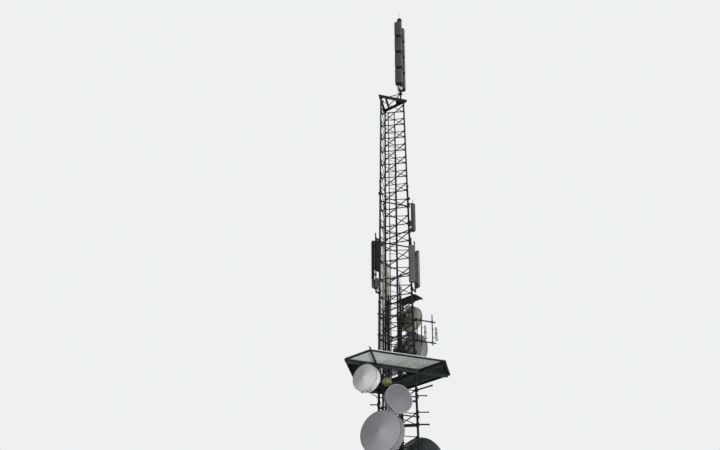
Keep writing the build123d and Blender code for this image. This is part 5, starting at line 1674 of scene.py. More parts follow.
@dataclass
class SideArms:
    """Two level pipes across the front face, upright poles on them, and a folded dipole on each pole."""

    heights: tuple[float, float] = (22.3, 21.3)
    diameter: float = ARM_PIPE
    ends: tuple[float, float] = (-0.910, 1.790)
    pole: float = POLE_PIPE
    poles: tuple[tuple[float, float, float], ...] = (
        (1.616, 21.150, 22.620), (1.104, 21.100, 22.420), (0.903, 21.2397, 22.3603))
    reach: float = 0.150
    dipole_foot: float = 21.40
    dipole_length: float = 0.660
    dipole: float = 0.022
    standoff: float = 0.018
    standoff_inset: float = 0.120

    @property
    def pipe_y(self) -> float:
        """Y of the level pipes."""
        return -TRUNK.offset(min(self.heights) - self.diameter / 2, self.diameter / 2)

    @property
    def pole_y(self) -> float:
        """Y of the upright poles, against the outer side of the pipes."""
        return self.pipe_y - self.diameter / 2 - SEAT - self.pole / 2

    def build(self) -> None:
        """Makes the pipes and poles, gripped to each other at every crossing, then the dipoles."""
        skin, pipe, pole = Skin(), self.diameter / 2, self.pole / 2
        for z in self.heights:
            skin.capped_pipe(*((x, self.pipe_y, z) for x in self.ends), self.diameter)
            for angle in (LEFT_LEG, RIGHT_LEG):
                leg_grip(skin, angle, z, FRONT, 0.044)
        for x, *ends in self.poles:
            skin.capped_pipe(*((x, self.pole_y, z) for z in ends), self.pole, 14)
            for z in self.heights:
                skin.paint = 1
                for side in (-0.042, 0.042):
                    skin.u_bolt(np.array((x, self.pole_y, z + side)), UP, Y, pole + 0.001, 0.005, 0.09)
                    skin.u_bolt(np.array((x + side, self.pipe_y, z)), X, FRONT, pipe + 0.001, 0.005, 0.052)
                skin.paint = 0
        skin.piece("side_arm_pipes", Slot.DARK_STEEL, (STEEL, ZINC), ("side_arms",))
        skin = Skin()
        for x, *_ in self.poles[:2]:
            self.folded_dipole(skin, x)
        skin.piece("folded_dipoles", Slot.BRACKET_STEEL, (STEEL, FASTENER, JACKET_BLACK), ("side_dipoles",))

    def folded_dipole(self, skin: Skin, x: float) -> None:
        """Folded dipole: a tall closed loop, its feed box, two stand-offs and a tail of cable.

        Args:
            skin: surfaces to add to.
            x: place of its pole.
        """
        foot, half, tall, pole = (np.array((x + self.reach, self.pole_y, self.dipole_foot)), self.dipole / 2,
                                  self.dipole_length, self.pole / 2)
        skin.paint = 0
        skin.lathe(foot, UP, [station[::-1] for station in both_ends(tall, (0.0, half), (0.004, half * 1.4))], 12)
        bend, side = np.linspace(-np.pi / 2, np.pi / 2, 7)[:, None], X * 0.060
        loop = foot + UP * 0.05 + side + np.cos(bend) * X * 0.036 + np.sin(bend) * UP * 0.024
        skin.sweep([foot + UP * 0.026, *loop, foot + UP * (tall - 0.05) + side, foot + UP * (tall - 0.026)],
                   disc(0.016, 8), Y)
        rungs = foot + UP * (np.array((0.2, 0.4, 0.6, 0.8)) * tall)[:, None]
        skin.bars(rungs + X * half, rungs + side, box(0.020, 0.012))
        for rise in (self.standoff_inset, tall - self.standoff_inset):
            end, reach = foot + UP * rise, pole - self.reach + SEAT
            skin.paint = 0
            skin.block(end, X, reach, 0.0, disc(self.standoff / 2, 10))
            skin.paint = 1
            skin.block(end, X, reach - 0.004, reach + 0.004, box(0.06, 0.056, 0.008))
            skin.u_bolt(end - X * self.reach, UP, X, pole + 0.001, 0.004, pole + 0.018)
        skin.paint = 2
        feed = foot + UP * tall / 2
        skin.upright(feed - UP * 0.04, 0.0, rounded(0.05, 0.045, 0.008, 0.008, 3),
                     both_ends(0.08, (0.0, 0.9), (0.006, 1.0)))
        down = feed - X * self.reach - Y * (pole + 0.008)
        skin.sweep([feed - UP * 0.03, feed - UP * 0.14 - X * 0.01, feed - UP * 0.19 - X * 0.06, down - UP * 0.16,
                    down - UP * 0.02, down * LEVEL + UP * (self.heights[0] - 0.05)], disc(0.006, 8), Y)


@dataclass
class Stubs:
    """Short level pipes that stand off the legs below the platform, with disc caps, and a box on one leg."""

    arms: tuple[tuple[float, float, float, float, float], ...] = (
        (RIGHT_LEG, -57.0, 19.00, 0.820, 0.070),
        (RIGHT_LEG, -19.0, 18.75, 0.430, 0.050),
        (RIGHT_LEG, -19.0, 18.00, 0.480, 0.050),
        (RIGHT_LEG, -19.0, 17.45, 0.480, 0.070),
        (LEFT_LEG, 161.0, 18.10, 0.340, 0.050),
    )
    cap: float = 0.014
    box_leg: float = RIGHT_LEG
    box_bearing: float = 259.0
    box_foot: float = 27.00
    box_size: tuple[float, float, float] = (0.09, 0.150, 0.270)

    def build(self) -> None:
        """Makes the pipes, their foot plates and their leg grips."""
        skin, cap = Skin(), self.cap
        for leg, bearing, z, far, diameter in self.arms:
            start, (way, side), inner, half = TRUNK.leg(leg, z), axes(bearing), TRUNK.half(z) + 0.002, diameter / 2
            skin.paint = 0
            skin.lathe(start, way, ((half + 0.006, inner), (half + 0.006, inner + 0.014), (half, inner + 0.02),
                                    (half, far - 0.03), (half + 0.004, far - 0.03), (half + 0.004, far),
                                    (half + cap - 0.001, far), (half + cap, far + 0.002),
                                    (half + cap, far + cap - 0.002), (half + cap - 0.003, far + cap)), 18)
            skin.block(start, way, inner, inner + 0.010, box(0.16, 0.11, 0.01))
            skin.paint = 1
            leg_grip(skin, leg, z, way, half + 0.024)
            for turn in np.radians((45, 135, 225, 315)):
                rim = (side * math.cos(turn) + UP * math.sin(turn)) * half * 0.8
                skin.bolts(start + way * (far + cap) + rim, way, 0.013, 0.006)
        self.leg_box(skin)
        skin.piece("stub_pipes", Slot.DARK_STEEL, (STEEL, ZINC), ("stub_arms",))

    def leg_box(self, skin: Skin) -> None:
        """Small closed box strapped to the front right leg, with a lid seam and a gland below.

        Args:
            skin: surfaces to add to.
        """
        way, z, (depth, width, tall) = heading(self.box_bearing), self.box_foot, self.box_size
        place = TRUNK.leg(self.box_leg, z) + way * (TRUNK.half(z) + 0.052)
        skin.paint = 0
        skin.upright(place, self.box_bearing, rounded(depth, width, 0.012, 0.012, 3), (
            (0.0, 0.94), (0.005, 1.0), (tall - 0.03, 1.0), (tall - 0.028, 0.98), (tall - 0.024, 1.03),
            (tall - 0.004, 1.03), (tall, 0.97)))
        skin.paint = 1
        skin.lathe(place - UP * 0.025, UP, ((0.008, 0.0), (0.012, 0.004), (0.012, 0.026)), 10)
        leg_grip(skin, self.box_leg, z + tall / 2, way, tall * 0.3)


# ---------------------------------------------------------------- platform


@dataclass
class Platform:
    """Three long beams outside the legs, a six-sided rim of channels and three panels of bar grating."""

    level: float = 19.9
    beam: tuple[float, float] = (0.060, 0.090)
    half_span: float = 2.4
    rim: tuple[float, float, float] = (0.050, 0.070, 0.006)
    deck: float = 0.032
    joint: float = 0.008
    bar_pitch: float = 0.0230
    bar: tuple[float, float] = (0.028, 0.0045)
    rod_pitch: float = 0.100
    bearers: int = 9
    infill_half: float = 0.84
    infill_pitch: float = 0.030
    infill_corner: float = 0.30
    opening: tuple[float, float] = (-0.42, 0.38)
    opening_back: float = -0.15
    clips: tuple[float, float, float] = (-2.0, 1.3, 0.6)
    lower_channel: tuple[float, float, float] = (0.092, 0.056, 0.006)
    crowded_leg: float = LEFT_LEG
    brace_reach: float = 0.62

    @property
    def offset(self) -> float:
        """Distance from the tower axis to the middle line of a beam."""
        return TRUNK.offset(self.level - self.beam[1] / 2, self.beam[0] / 2)

    @property
    def top(self) -> float:
        """Height of the decks' upper side."""
        return self.level + self.beam[1] / 2 + SEAT + self.deck

    def build(self) -> None:
        """Makes the rim, the decks and the fittings; the beams' CAD solid stays."""
        self.rim_channels()
        for name, turn in zip(("front", "right", "left"), TRUNK.turns):
            self.grating(name, turn)
        self.infill()
        self.fittings()

    def loop(self, skin: Skin, corners: Array, profile: Array, height: float) -> None:
        """Mitred ring: point = corner + (to next + to last) * inward / sine of the corner + up * rise.

        Args:
            skin: surfaces to add to.
            corners: corners of the ring, anticlockwise.
            profile: inward distance and rise of each point of the section, anticlockwise.
            height: height that the rises are counted from.
        """
        after, before = (unit(np.roll(corners, shift, axis=0) - corners) for shift in (-1, 1))
        inward = (after + before) / np.linalg.norm(np.cross(after, before), axis=1)[:, None]
        skin.grid(corners[:, None] + inward[:, None] * profile[None, :, :1] + UP * (profile[None, :, 1:] + height),
                  closed=True)

    def rim_channels(self) -> None:
        """Six mitred channels that open inward, with a bolted plate on each corner."""
        skin, (width, height, wall), top = Skin(), self.rim, self.level + self.beam[1] / 2
        tips = np.concatenate([turned(((-self.half_span, -self.offset, 0.0), (self.half_span, -self.offset, 0.0)), turn)
                               for turn in TRUNK.turns])
        tips = tips[np.argsort(np.arctan2(tips[:, 1], tips[:, 0]))]
        self.loop(skin, tips, channel(width, height, wall) + (width / 2, -height / 2), top)
        for number, tip in enumerate(tips):
            for other, sign in ((tips[(number + 1) % 6], -1), (tips[number - 1], 1)):
                way = unit(other - tip)
                out = np.cross(UP, way) * sign
                middle = tip + way * 0.10 + UP * (top - height / 2)
                skin.paint = 0
                skin.block(middle + out * 0.003, way, -0.085, 0.085, box(height - 0.01, 0.006))
                skin.paint = 1
                for shift in (-0.055, -0.015, 0.025, 0.065):
                    skin.bolts(middle + way * shift + out * 0.006, out, 0.018, 0.009)
        skin.piece("rim_channels", Slot.DARK_STEEL, (STEEL, ZINC), ("platform_frame",))

    def grating(self, name: str, turn: float) -> None:
        """Welded bar grating: close bearing bars square to the face, thin rods across them, and an edge band.

        Args:
            name: the panel's name.
            turn: turn of the face.
        """
        skin, top, deck, (depth, thin) = Skin(), self.top, self.deck, self.bar
        tip = turned((self.half_span, -self.offset, 0.0), -120.0)
        y_in, y_out = -self.offset - self.joint, tip[1] + self.joint
        wide, narrow, far = self.half_span - 0.016, -tip[0] - 0.012, self.offset * math.sqrt(3) - 0.005
        corners = np.array(((-wide, y_in, 0), (-narrow, y_out, 0), (narrow, y_out, 0), (far, y_in, 0)))
        self.loop(skin, turned(corners, turn), np.array(((0.0, -deck), (0.005, -deck), (0.005, 0.0), (0.0, 0.0))), top)
        pitch = (self.half_span + narrow) / self.bearers
        for x, z, profile in (
                (np.arange(-wide + self.bar_pitch, narrow - 0.01, self.bar_pitch), top - depth / 2 - 0.001,
                 box(depth, thin)),
                (pitch * np.arange(1, self.bearers) - self.half_span, top - deck / 2, box(deck - 0.002, 0.010))):
            low = np.interp(x, (-wide, -narrow, narrow), (y_in, y_out, y_out)) + 0.004
            high = np.interp(x, (-wide, far, narrow), (y_in, y_in, y_out)) - 0.004
            rows = [np.stack((x, y, np.full(len(x), z)), 1)[high - low > 0.02] for y in (low, high)]
            skin.across(rows, turn, profile)
        y = np.arange(y_out + self.rod_pitch, y_in - 0.02, self.rod_pitch)
        skin.across([np.stack((np.interp(y, (y_out, y_in), ends) + gap, y, np.full(len(y), top - 0.0035)), 1)
                     for ends, gap in (((-narrow, -wide), 0.003), ((narrow, far), -0.003))], turn, disc(0.003, 4))
        # The front deck's pale grating is painted light; the near black of the other decks is partly painted shade
        skin.piece(f"bar_grating_{name}", Slot.GRATING, (GRATING_PAINTED_LIGHT if name == "front" else GRATING,),
                   (f"platform_deck_{name}",))

    def infill(self) -> None:
        """Grating inside the trunk, level with the decks, left open round the climbing ladder."""
        skin, reach, clear = Skin(), self.offset - self.beam[0] / 2 - 0.10, 0.004
        for x in np.arange(-self.infill_half, self.infill_half, self.infill_pitch):
            far = self.offset * 2 - abs(x) * math.sqrt(3) - self.infill_corner
            near = self.opening_back if self.opening[0] < x < self.opening[1] else -reach
            if far - near > 0.05:
                skin.block(np.array((x, 0.0, self.top - self.deck / 2)), Y, near + clear, far - clear, box(*self.bar))
        skin.piece("infill_grating", Slot.GRATING, (GRATING,))

    def fittings(self) -> None:
        """Grips and plates on the beams, braces and channels below them, grating clips and a bent tip."""
        skin, (width, height), span = Skin(), self.beam, self.half_span
        for turn in TRUNK.turns:
            out, along = turned(FRONT, turn), turned(X, turn)
            for angle, side in ((LEFT_LEG + turn, -1), (RIGHT_LEG + turn, 1)):
                leg_grip(skin, angle, self.level, out, height / 2 + 0.010)
                skin.plates(box(0.13, height + 0.05, 0.01), TRUNK.beside(turn, side, self.level, self.offset) +
                            out * (width / 2 + 0.005), along, UP, 0.010)
                if angle % 360 == self.crowded_leg:
                    continue
                end = turned((side * (span - self.brace_reach), -self.offset, self.level - height / 2 - 0.093), turn)
                foot = TRUNK.leg(angle, self.level - self.brace_reach) + out * 0.085
                brace = unit(end - foot)
                skin.bars(foot + brace * 0.04, end - brace * 0.03, angle_bar(0.045, 0.045, 0.005), out)
                skin.plates(box(0.12, 0.10, 0.012), foot - out * 0.022, along, UP, 0.008)
                leg_grip(skin, angle, self.level - self.brace_reach, out, 0.045)
                skin.plates(box(0.14, 0.012), end - UP * 0.0065, along, out, 0.050)
            for x in np.arange(*self.clips):
                clip = turned((x, -self.offset - 0.03, self.level + height / 2 + self.deck), turn)
                skin.block(clip, along, -0.02, 0.02, box(0.006, 0.05))
        tip = turned((span, -self.offset, self.level), -120.0)
        bent = tip + np.array(((0, 0, -0.03), (0, 0, 0.10), (-0.07, -0.02, 0.17)))
        skin.sweep(bent, angle_bar(0.05, 0.05, 0.006), X, (1.0, 1.0, 0.6))
        low = self.level - (height + self.lower_channel[0]) / 2 - 0.0005
        for turn in TRUNK.turns[:2]:
            skin.across(((0.12 - span, -self.offset, low), (span - 0.12, -self.offset, low)), turn,
                        channel(*self.lower_channel))
        skin.piece("platform_fittings", Slot.BRACKET_STEEL, (ZINC,))


# ---------------------------------------------------------------- dishes


@dataclass
class Mount:
    """Where a dish's pipe stands: beside a leg on two arms, or against two level bars on a face."""

    leg: float | None = None
    bearing: float = 0.0
    reach: float = 0.0
    turn: float = 0.0
    along: float = 0.0
    bar: float = ARM_PIPE
    pipe: float = DISH_PIPE
    drop: float = 0.45

    def axis(self, z: float) -> Array:
        """Point of the pipe's axis at height 0, for a dish at a height."""
        if self.leg is not None:
            return (TRUNK.leg(self.leg, z) + heading(self.bearing) * self.reach) * LEVEL
        off = TRUNK.offset(z - self.drop - self.bar / 2, self.bar / 2) + (self.bar + self.pipe) / 2 + SEAT
        return turned((self.along, -off, 0.0), self.turn)


@dataclass
class Dish:
    """Drum dish: crowned fabric radome in a clamped rim, rolled shroud, ribbed bowl, hub, radio and waveguide."""

    name: str
    aperture: float
    depth: float
    z: float
    bearing: float
    mount: Mount
    face: Finish
    shell: Finish
    slot: Slot = Slot.DISH_WHITE
    rim: float = 0.024
    rim_height: float = 0.040
    crown: float = 0.20
    hub: float = 0.28
    hub_depth: float = 0.060
    back: float = 0.42
    link: float = 0.070
    sides: int = 72
    seam: float = -72.0
    waveguide: float = 0.0555
    large: float = 0.8
    radio_sizes: tuple[float, float] = (0.24, 0.13)
    strut: tuple[float, float, float] | None = None

    @property
    def centre(self) -> Array:
        """Middle of the rim's front edge."""
        reach = self.depth + self.hub_depth + SEAT + self.link
        return self.mount.axis(self.z) + heading(self.bearing) * reach + UP * self.z

    def around(self, turn: Array | float, radius: float, along: float) -> Array:
        """Points at angles round the dish's axis, at a radius and a place along the axis."""
        turn, (way, side) = np.radians(np.asarray(turn, dtype=float))[..., None], axes(self.bearing)
        return self.centre + (side * np.cos(turn) + UP * np.sin(turn)) * radius + way * along

    def bowl(self, share: Array) -> Array:
        """Radius and place of points up the bowl: the parabola through its hub, shoulder and shroud.

        Args:
            share: 0 at the hub, 1 at the shroud.

        Returns:
            Radius and place along the axis of each point.
        """
        r, d = self.aperture / 2, self.depth
        radius = np.array((self.hub * r, 0.7 * r, r - self.rim))
        at = radius[0] + (radius[2] - radius[0]) * share
        return np.stack((at, np.polyval(np.polyfit(radius, (-d, -0.8404 * d, (self.back - 1) * d), 2), at)), axis=1)

    def build(self) -> None:
        """Makes the dish: every shell is a profile turned about the dish's axis."""
        skin, r, d, tall = Skin(), self.aperture / 2, self.depth, self.rim_height
        hub, foot, low, wall = self.hub * r, -d - self.hub_depth, (self.back - 1) * d, r - self.rim
        skin.paint = 1
        skin.lathe(self.centre, heading(self.bearing), (
            (hub * 0.72, foot), (hub * 0.94, foot + 0.004), (hub * 0.98, foot + 0.010), (hub * 0.98, -d - 0.014),
            (hub, -d - 0.012), *self.bowl(np.linspace(0, 1, 14)).tolist(), (wall + 0.006, low + 0.004),
            (wall + 0.006, low + 0.030), (wall, low + 0.034), (wall, -tall - 0.022), (r - 0.004, -tall - 0.004),
            (r, -tall), (r, -0.026), (r - 0.003, -0.022), (r - 0.003, -0.016), (r, -0.012), (r, -0.003),
            (r - 0.003, 0.0), (r - 0.012, 0.0), (r - 0.014, -0.004)), self.sides)
        skin.paint = 0
        share = np.linspace(1, 0, 12)
        cone = (1 - np.sqrt(share ** 2 + 0.002)) * self.crown * r
        crown = np.stack((share * (r - 0.013) + 0.001, cone - cone[0] - 0.006), axis=1)
        skin.lathe(self.centre, heading(self.bearing), ((r - 0.012, -0.012), *crown), self.sides)
        skin.paint = 2
        self.rim_clamps(skin)
        self.hub_fittings(skin)
        skin.paint = 1
        self.ribs(skin)
        self.radio(skin)
        skin.piece(f"drum_{self.name}", self.slot, (self.face, self.shell, ZINC, JACKET_BLACK, RADIO),
                   (f"dish_{self.name}",))

    def rim_clamps(self, skin: Skin) -> None:
        """Turnbuckles round the rim band and the shroud's lap seam.

        Args:
            skin: surfaces to add to.
        """
        r, count = self.aperture / 2, max(6, int(self.aperture * 8))
        turn = (np.arange(count) + 0.5) * 360 / count
        low = self.around(turn, r + 0.002, -0.034)
        skin.bars(low, self.around(turn, r + 0.002, -0.006), box(0.010, 0.034, 0.003), unit(low - self.centre))
        side = unit(self.around(turn + 90, 1.0, 0.0) - self.centre)
        for way in (-side, side):
            skin.block(self.around(turn, r + 0.005, -0.020), way, 0.016, 0.030, disc(0.004, 6), heading(self.bearing))
        seam = self.around(self.seam, r - self.rim + 0.002, 0.0)
        seam_in, seam_out = (self.back - 1) * self.depth + 0.036, -self.rim_height - 0.024
        if seam_out - seam_in > 0.03:
            skin.block(seam, heading(self.bearing), seam_in, seam_out, box(0.006, 0.030, 0.001), seam - self.centre)

    def ribs(self, skin: Skin) -> None:
        """Eight thin ribs that follow the bowl from the hub to the shroud, or six on a small dish.

        Args:
            skin: surfaces to add to.
        """
        count = 8 if self.aperture > 1.0 else 6
        inner = self.bowl(np.linspace(0.02, 0.97, 7))
        outer = inner[::-1] - (0.0, 1.0) * np.linspace(0.012, 0.035, 7)[:, None]
        across = unit(self.around(np.arange(count) * 360 / count + 22.5, 1.0, 0.0) - self.centre)
        skin.plates(np.concatenate((inner + (0.0, 0.004), outer)), np.repeat(self.centre[None], count, 0), across,
                    heading(self.bearing), 0.006)

    def hub_fittings(self, skin: Skin) -> None:
        """Ring of bolts on the hub, the hinge to the pipe and its adjusting rod.

        Args:
            skin: surfaces to add to.
        """
        hub, back, (way, side) = self.hub * self.aperture / 2, -self.depth - self.hub_depth, axes(self.bearing)
        skin.bolts(self.around(np.arange(8) * 45.0, hub * 0.84, back), -way, 0.020, 0.010)
        middle, tall = self.centre + way * back, min(0.16, hub * 1.6)
        skin.block(middle, way, -0.012, 0.0005, box(tall, min(0.15, tall), 0.01))
        for out in (-side, side):
            skin.block(middle + out * 0.05, way, -self.link, -0.008, box(tall * 0.85, 0.010))
            skin.bolts(middle + out * 0.055 - way * 0.035, out, 0.028, 0.014)
        rod = middle + UP * (tall / 2 + 0.03)
        if self.aperture > self.large:
            skin.bars(rod - way * (self.link + 0.02), rod + way * 0.05 + side * 0.10, disc(0.008, 8))

    def radio(self, skin: Skin) -> None:
        """Finned outdoor radio beside the hub, and a black waveguide that follows the pipe down.

        Args:
            skin: surfaces to add to.
        """
        (way, side), size = axes(self.bearing), self.radio_sizes[self.aperture <= self.large]
        out = self.hub * self.aperture / 2 + size / 2 + 0.012
        middle = self.centre + side * out - way * (self.depth + self.hub_depth * 0.5 + 0.02)
        skin.paint = 4
        skin.upright(middle - UP * size / 2, self.bearing, rounded(0.07, size, 0.01, 0.01, 3),
                     both_ends(size, (0.0, 0.96), (0.004, 1.0)))
        fins = middle + side * (np.linspace(-0.42, 0.42, 9) * size)[:, None] - way * 0.045
        skin.block(fins, UP, -size * 0.44, size * 0.44, box(0.024, 0.004), way)
        skin.paint = 2
        skin.block(middle, side, -size / 2 - 0.02, 0.004 - size / 2, disc(0.03))
        skin.paint = 3
        pipe = self.mount.axis(self.z) + side * self.waveguide
        start = middle - UP * (size / 2 - 0.002)
        skin.sweep(eased((start, start - UP * 0.06, start - UP * 0.13 + (pipe - start) * (0.35, 0.35, 0),
                          pipe + UP * (self.z - size / 2 - 0.20), pipe + UP * (self.z - 0.45)), 1), disc(0.010, 8), way)


@dataclass
class DishMounts:
    """Pipes behind the dishes, with their arms and leg grips or their level bars."""

    dishes: tuple[Dish, ...]
    pipe: float = DISH_PIPE
    overhang: float = 0.120
    spread: float = 0.900
    arm: float = 0.060

    def build(self) -> None:
        """Makes the mounts on legs, then those on faces, then the stays."""
        for name, finish, add in (("leg", FASTENER, self.leg_mount), ("face", STEEL, self.face_mount)):
            skin = Skin()
            for dish in self.dishes:
                if (dish.mount.leg is None) == (name == "face"):
                    add(skin, dish)
            skin.piece(f"{name}_mounts", Slot.BRACKET_STEEL, (ZINC, finish), (f"{name}_dish_mounts",))
        self.stays()

    def upright_pipe(self, skin: Skin, dish: Dish, low: float, high: float) -> Array:
        """Pipe with caps, and the jaws that hold the dish's hinge.

        Args:
            skin: surfaces to add to.
            dish: dish on the pipe.
            low: height of the lower arm or bar.
            high: height of the upper one.

        Returns:
            Point of the pipe's axis at height 0.
        """
        axis, half, tall = dish.mount.axis(dish.z), self.pipe / 2, high - low + 2 * self.overhang
        skin.lathe(axis + UP * (low - self.overhang), UP, (
            (half * 0.88, 0.0), (half, 0.004), (half, tall - 0.014), (half + 0.003, tall - 0.014),
            (half + 0.003, tall - 0.004), (half * 0.85, tall)), 20)
        way, middle = heading(dish.bearing), axis + UP * dish.z
        pipe_grip(skin, middle, way, half, 0.055, 0.007, half + 0.026)
        skin.block(middle, way, half + 0.001, half + 0.013, box(0.16, 0.14, 0.01))
        return axis

    def leg_mount(self, skin: Skin, dish: Dish) -> None:
        """Two square tubes between end plates, from the leg to the pipe.

        Args:
            skin: surfaces to add to.
            dish: dish on the mount.
        """
        levels = [TRUNK.clear(dish.z + side * self.spread / 2) for side in (-1, 1)]
        axis, half = self.upright_pipe(skin, dish, *levels), self.pipe / 2
        for level in levels:
            start, end, inner = TRUNK.leg(dish.mount.leg, level), axis + UP * level, TRUNK.half(level) + 0.006
            way = unit(end - start)
            skin.bars(start + way * inner, end - way * (half + 0.002), box(self.arm, self.arm, 0.006))
            skin.block(start, way, inner, inner + 0.010, box(0.14, 0.15, 0.012))
            skin.block(end, way, -half - 0.012, -half - 0.002, box(0.14, 0.14, 0.012))
            leg_grip(skin, dish.mount.leg, level, way, 0.050)
            pipe_grip(skin, end, -way, half, 0.050, 0.006, half + 0.030)

    def face_mount(self, skin: Skin, dish: Dish) -> None:
        """Two level bars across the legs of a face, and the pipe held against them.

        Args:
            skin: surfaces to add to.
            dish: dish on the mount.
        """
        levels = dish.z - self.spread / 2, dish.z + self.spread / 2
        axis = self.upright_pipe(skin, dish, *levels)
        for level in levels:
            CrossBars().bar(skin, dish.mount.turn, level)
            skin.paint = 0
            pipe_grip(skin, axis + UP * level, turned(Y, dish.mount.turn), self.pipe / 2, 0.044, 0.006, 0.115)

    def stays(self) -> None:
        """Thin stays from the rims of the larger dishes to the trunk, with forked ends."""
        skin = Skin()
        for dish in self.dishes:
            if dish.strut:
                turn, leg, z = dish.strut
                start = dish.around(turn, dish.aperture / 2 - dish.rim + 0.012, -dish.rim_height - 0.03)
                out = unit((start - TRUNK.leg(leg, z)) * LEVEL)
                end = TRUNK.leg(leg, z) + out * (TRUNK.half(z) + 0.012)
                way = unit(end - start)
                skin.sweep([start, start + way * 0.05, start + way * 0.07, end - way * 0.07, end - way * 0.05, end],
                           disc(0.017, 10), UP, (0.55, 0.55, 1.0, 1.0, 0.55, 0.55))
                skin.block(start, way, -0.02, 0.03, box(0.06, 0.012, 0.004))
                leg_grip(skin, leg, z, out, 0.016)
        skin.piece("dish_stays", Slot.BRACKET_STEEL, (ZINC,))


# Of the finishes given here, the grey and dull fabrics and the grey, olive and dark drum paints are partly painted
# shade
DISHES = (
    Dish("left", 1.200, 0.520, 19.1, 218.8, Mount(LEFT_LEG, 164.4, 0.254), FABRIC_WHITE, DRUM_WHITE,
         strut=(-86.0, LEFT_LEG, 18.42)),
    Dish("small", 0.400, 0.130, 19.0, 250.0, Mount(LEFT_LEG, 331.3, 0.344), FABRIC_OLIVE, DRUM_GREY_PAINTED_SHADE, Slot.DISH_OLIVE),
    Dish("large", 1.900, 0.620, 16.5, 220.8, Mount(LEFT_LEG, 304.3, 0.550), FABRIC_GREY_PAINTED_SHADE, DRUM_GREY_PAINTED_SHADE,
         strut=(150.0, LEFT_LEG, 17.42)),
    Dish("middle", 1.250, 0.430, 18.2, 278.8, Mount(turn=FRONT_FACE, along=-0.291), FABRIC_DULL_PAINTED_SHADE, DRUM_PALE),
    Dish("upper_right", 1.200, 0.480, 22.8, 28.0, Mount(turn=RIGHT_FACE, along=-0.100), FABRIC_WHITE, DRUM_OLIVE_PAINTED_SHADE),
    Dish("lower_right", 1.800, 0.620, 21.27, 28.0, Mount(turn=RIGHT_FACE, along=0.060), FABRIC_WHITE, DRUM_GREY_PAINTED_SHADE,
         strut=(-30.0, RIGHT_LEG, 20.6)),
    Dish("rear_right", 1.900, 0.620, 16.2, 50.4, Mount(turn=RIGHT_FACE, along=-0.600), FABRIC_GREY_PAINTED_SHADE, DRUM_DARK_PAINTED_SHADE),
)


def assemblies() -> list:
    """All sub-assemblies, from the ground up."""
    return [
        Legs(), Lacing(), Anchors(), Ladder(), Bundle(),
        Feeders("left", LEFT_FACE, JACKET_GREY, Slot.CABLE_GREY,
                ((0.034, 25.6), (0.040, 27.4), (0.040, 28.2), (0.028, 28.4), (0.028, 25.2), (0.040, 24.6),
                 (0.040, 26.3))),
        Feeders("edge", LEFT_FACE, JACKET_GREY, Slot.CABLE_GREY, ((0.040, 25.4), (0.040, 26.0)), foot=19.4,
                splice=21.2, shift=0.53),
        Feeders("right", RIGHT_FACE, JACKET_BLACK, Slot.CABLE_BLACK,
                ((0.040, 22.9), (0.040, 22.3), (0.040, 21.1), (0.028, 23.0))),
        Riser("left", -0.300, (25.0, 24.8, 24.7, 25.1, 24.4, 24.6, 24.9, 24.2), splice=23.1),
        Riser("right", 0.268, (24.2, 24.5, 23.6, 24.0, 23.8, 23.4)), CableBridge(),
        HeadFrame(), MAST, Broadcast(), Collars(), CrossBars(), DrumAntenna(), Sectors(), IceGuard(), SideArms(),
        Stubs(), Platform(), *DISHES, DishMounts(DISHES),
    ]


# ---------------------------------------------------------------- view and light


@dataclass(frozen=True)
class Viewpoint:
    """Camera that looks up at the tower from one side."""

    place: tuple[float, float, float] = (-17.93, -49.85, -3.99)
    bearing: float = 70.8
    pitch: float = 30.0
    lens: float = 68.55

    def build(self) -> None:
        """Makes the camera and sets it as the scene's."""
        data = bpy.data.cameras.new("camera")
        data.lens = self.lens
        data.sensor_width = 36.0
        data.clip_end = 500.0
        camera = bpy.data.objects.new("camera", data)
        camera.location = self.place
        turn, rise = math.radians(self.bearing), math.radians(self.pitch)
        look = Vector((math.cos(turn) * math.cos(rise), math.sin(turn) * math.cos(rise), math.sin(rise)))
        camera.rotation_mode = "QUATERNION"
        camera.rotation_quaternion = look.to_track_quat("-Z", "Y")
        bpy.context.scene.collection.objects.link(camera)
        bpy.context.scene.camera = camera


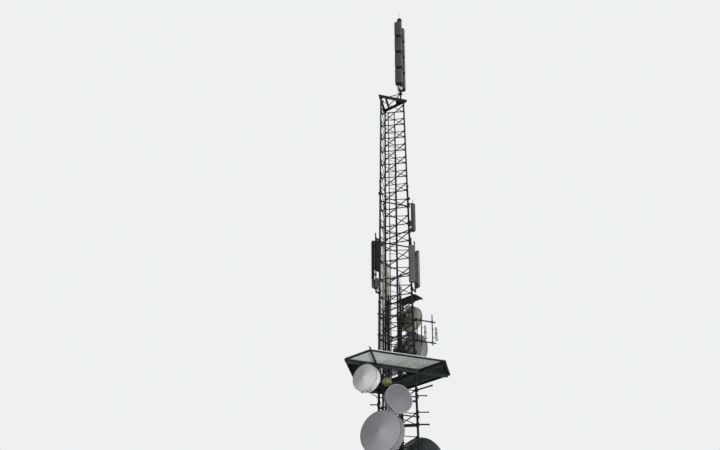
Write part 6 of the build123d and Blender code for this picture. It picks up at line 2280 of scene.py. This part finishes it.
@dataclass(frozen=True)
class Studio:
    """Plain soft light, a pale surround and a pale round floor."""

    surround: str = "#eef0f2"
    ambient: float = 0.30
    floor: str = "#dfe0e0"
    floor_radius: float = 24.0
    suns: tuple[tuple[tuple[float, float, float], float, float], ...] = (
        ((0.30, -0.70, -1.0), 2.20, 12.0),
        ((-0.45, 0.78, 0.43), 3.60, 12.0),
    )

    def build(self) -> None:
        """Makes the world, the lamps and the floor."""
        world = bpy.data.worlds.new("surround")
        bpy.context.scene.world = world
        world.use_nodes = True
        tree = world.node_tree
        back = tree.nodes["Background"]
        back.inputs[0].default_value = linear(self.surround)
        rays = add_node(tree, "ShaderNodeLightPath")
        seen = rays.outputs["Is Camera Ray"]
        for kind in ("Is Glossy Ray", "Is Transmission Ray"):
            seen = add_node(tree, "ShaderNodeMath", {0: seen, 1: rays.outputs[kind]}, operation="MAXIMUM").outputs[0]
        strength = add_node(tree, "ShaderNodeMapRange", {"Value": seen, "To Min": self.ambient, "To Max": 1.0})
        tree.links.new(strength.outputs[0], back.inputs[1])
        for number, (way, power, angle) in enumerate(self.suns):
            data = bpy.data.lights.new(f"sun_{number}", "SUN")
            data.energy = power
            data.angle = math.radians(angle)
            lamp = bpy.data.objects.new(f"sun_{number}", data)
            lamp.rotation_mode = "QUATERNION"
            lamp.rotation_quaternion = Vector(way).to_track_quat("-Z", "Y")
            bpy.context.scene.collection.objects.link(lamp)
        self.lay_floor()

    def lay_floor(self) -> None:
        """Round floor just below the foot plates: point = middle + radius * (cos, sin)."""
        turn = np.linspace(0, 2 * np.pi, 96, endpoint=False)
        middle = Skin.SHIFT
        points = np.stack((np.cos(turn), np.sin(turn), 0 * turn), axis=1) * self.floor_radius + middle - UP * 0.002
        mesh = bpy.data.meshes.new("floor")
        mesh.from_pydata(points.tolist(), (), [list(range(len(points)))])
        material = bpy.data.materials.new("matt_floor")
        material.use_nodes = True
        shader = material.node_tree.nodes["Principled BSDF"]
        shader.inputs["Base Color"].default_value = linear(self.floor)
        shader.inputs["Roughness"].default_value = 0.9
        mesh.materials.append(material)
        floor = bpy.data.objects.new("floor", mesh)
        bpy.context.scene.collection.objects.link(floor)


def dress_nodes() -> None:
    """Gives each CAD node that stays in view its finish; the near black steel one is partly painted shade."""
    for name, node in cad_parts.items():
        for slot in node.material_slots:
            slot.material = (DRUM_WHITE if name.startswith("dish_") else STEEL).build()


def main() -> None:
    """Builds every sub-assembly in order, then the view and the light."""
    logging.basicConfig(level=logging.INFO, format="%(message)s")
    bpy.context.scene.view_settings.view_transform = "Standard"
    dress_nodes()
    for assembly in assemblies():
        log.info("building %s", type(assembly).__name__)
        assembly.build()
    Viewpoint().build()
    Studio().build()


if __name__ == "__main__":
    main()
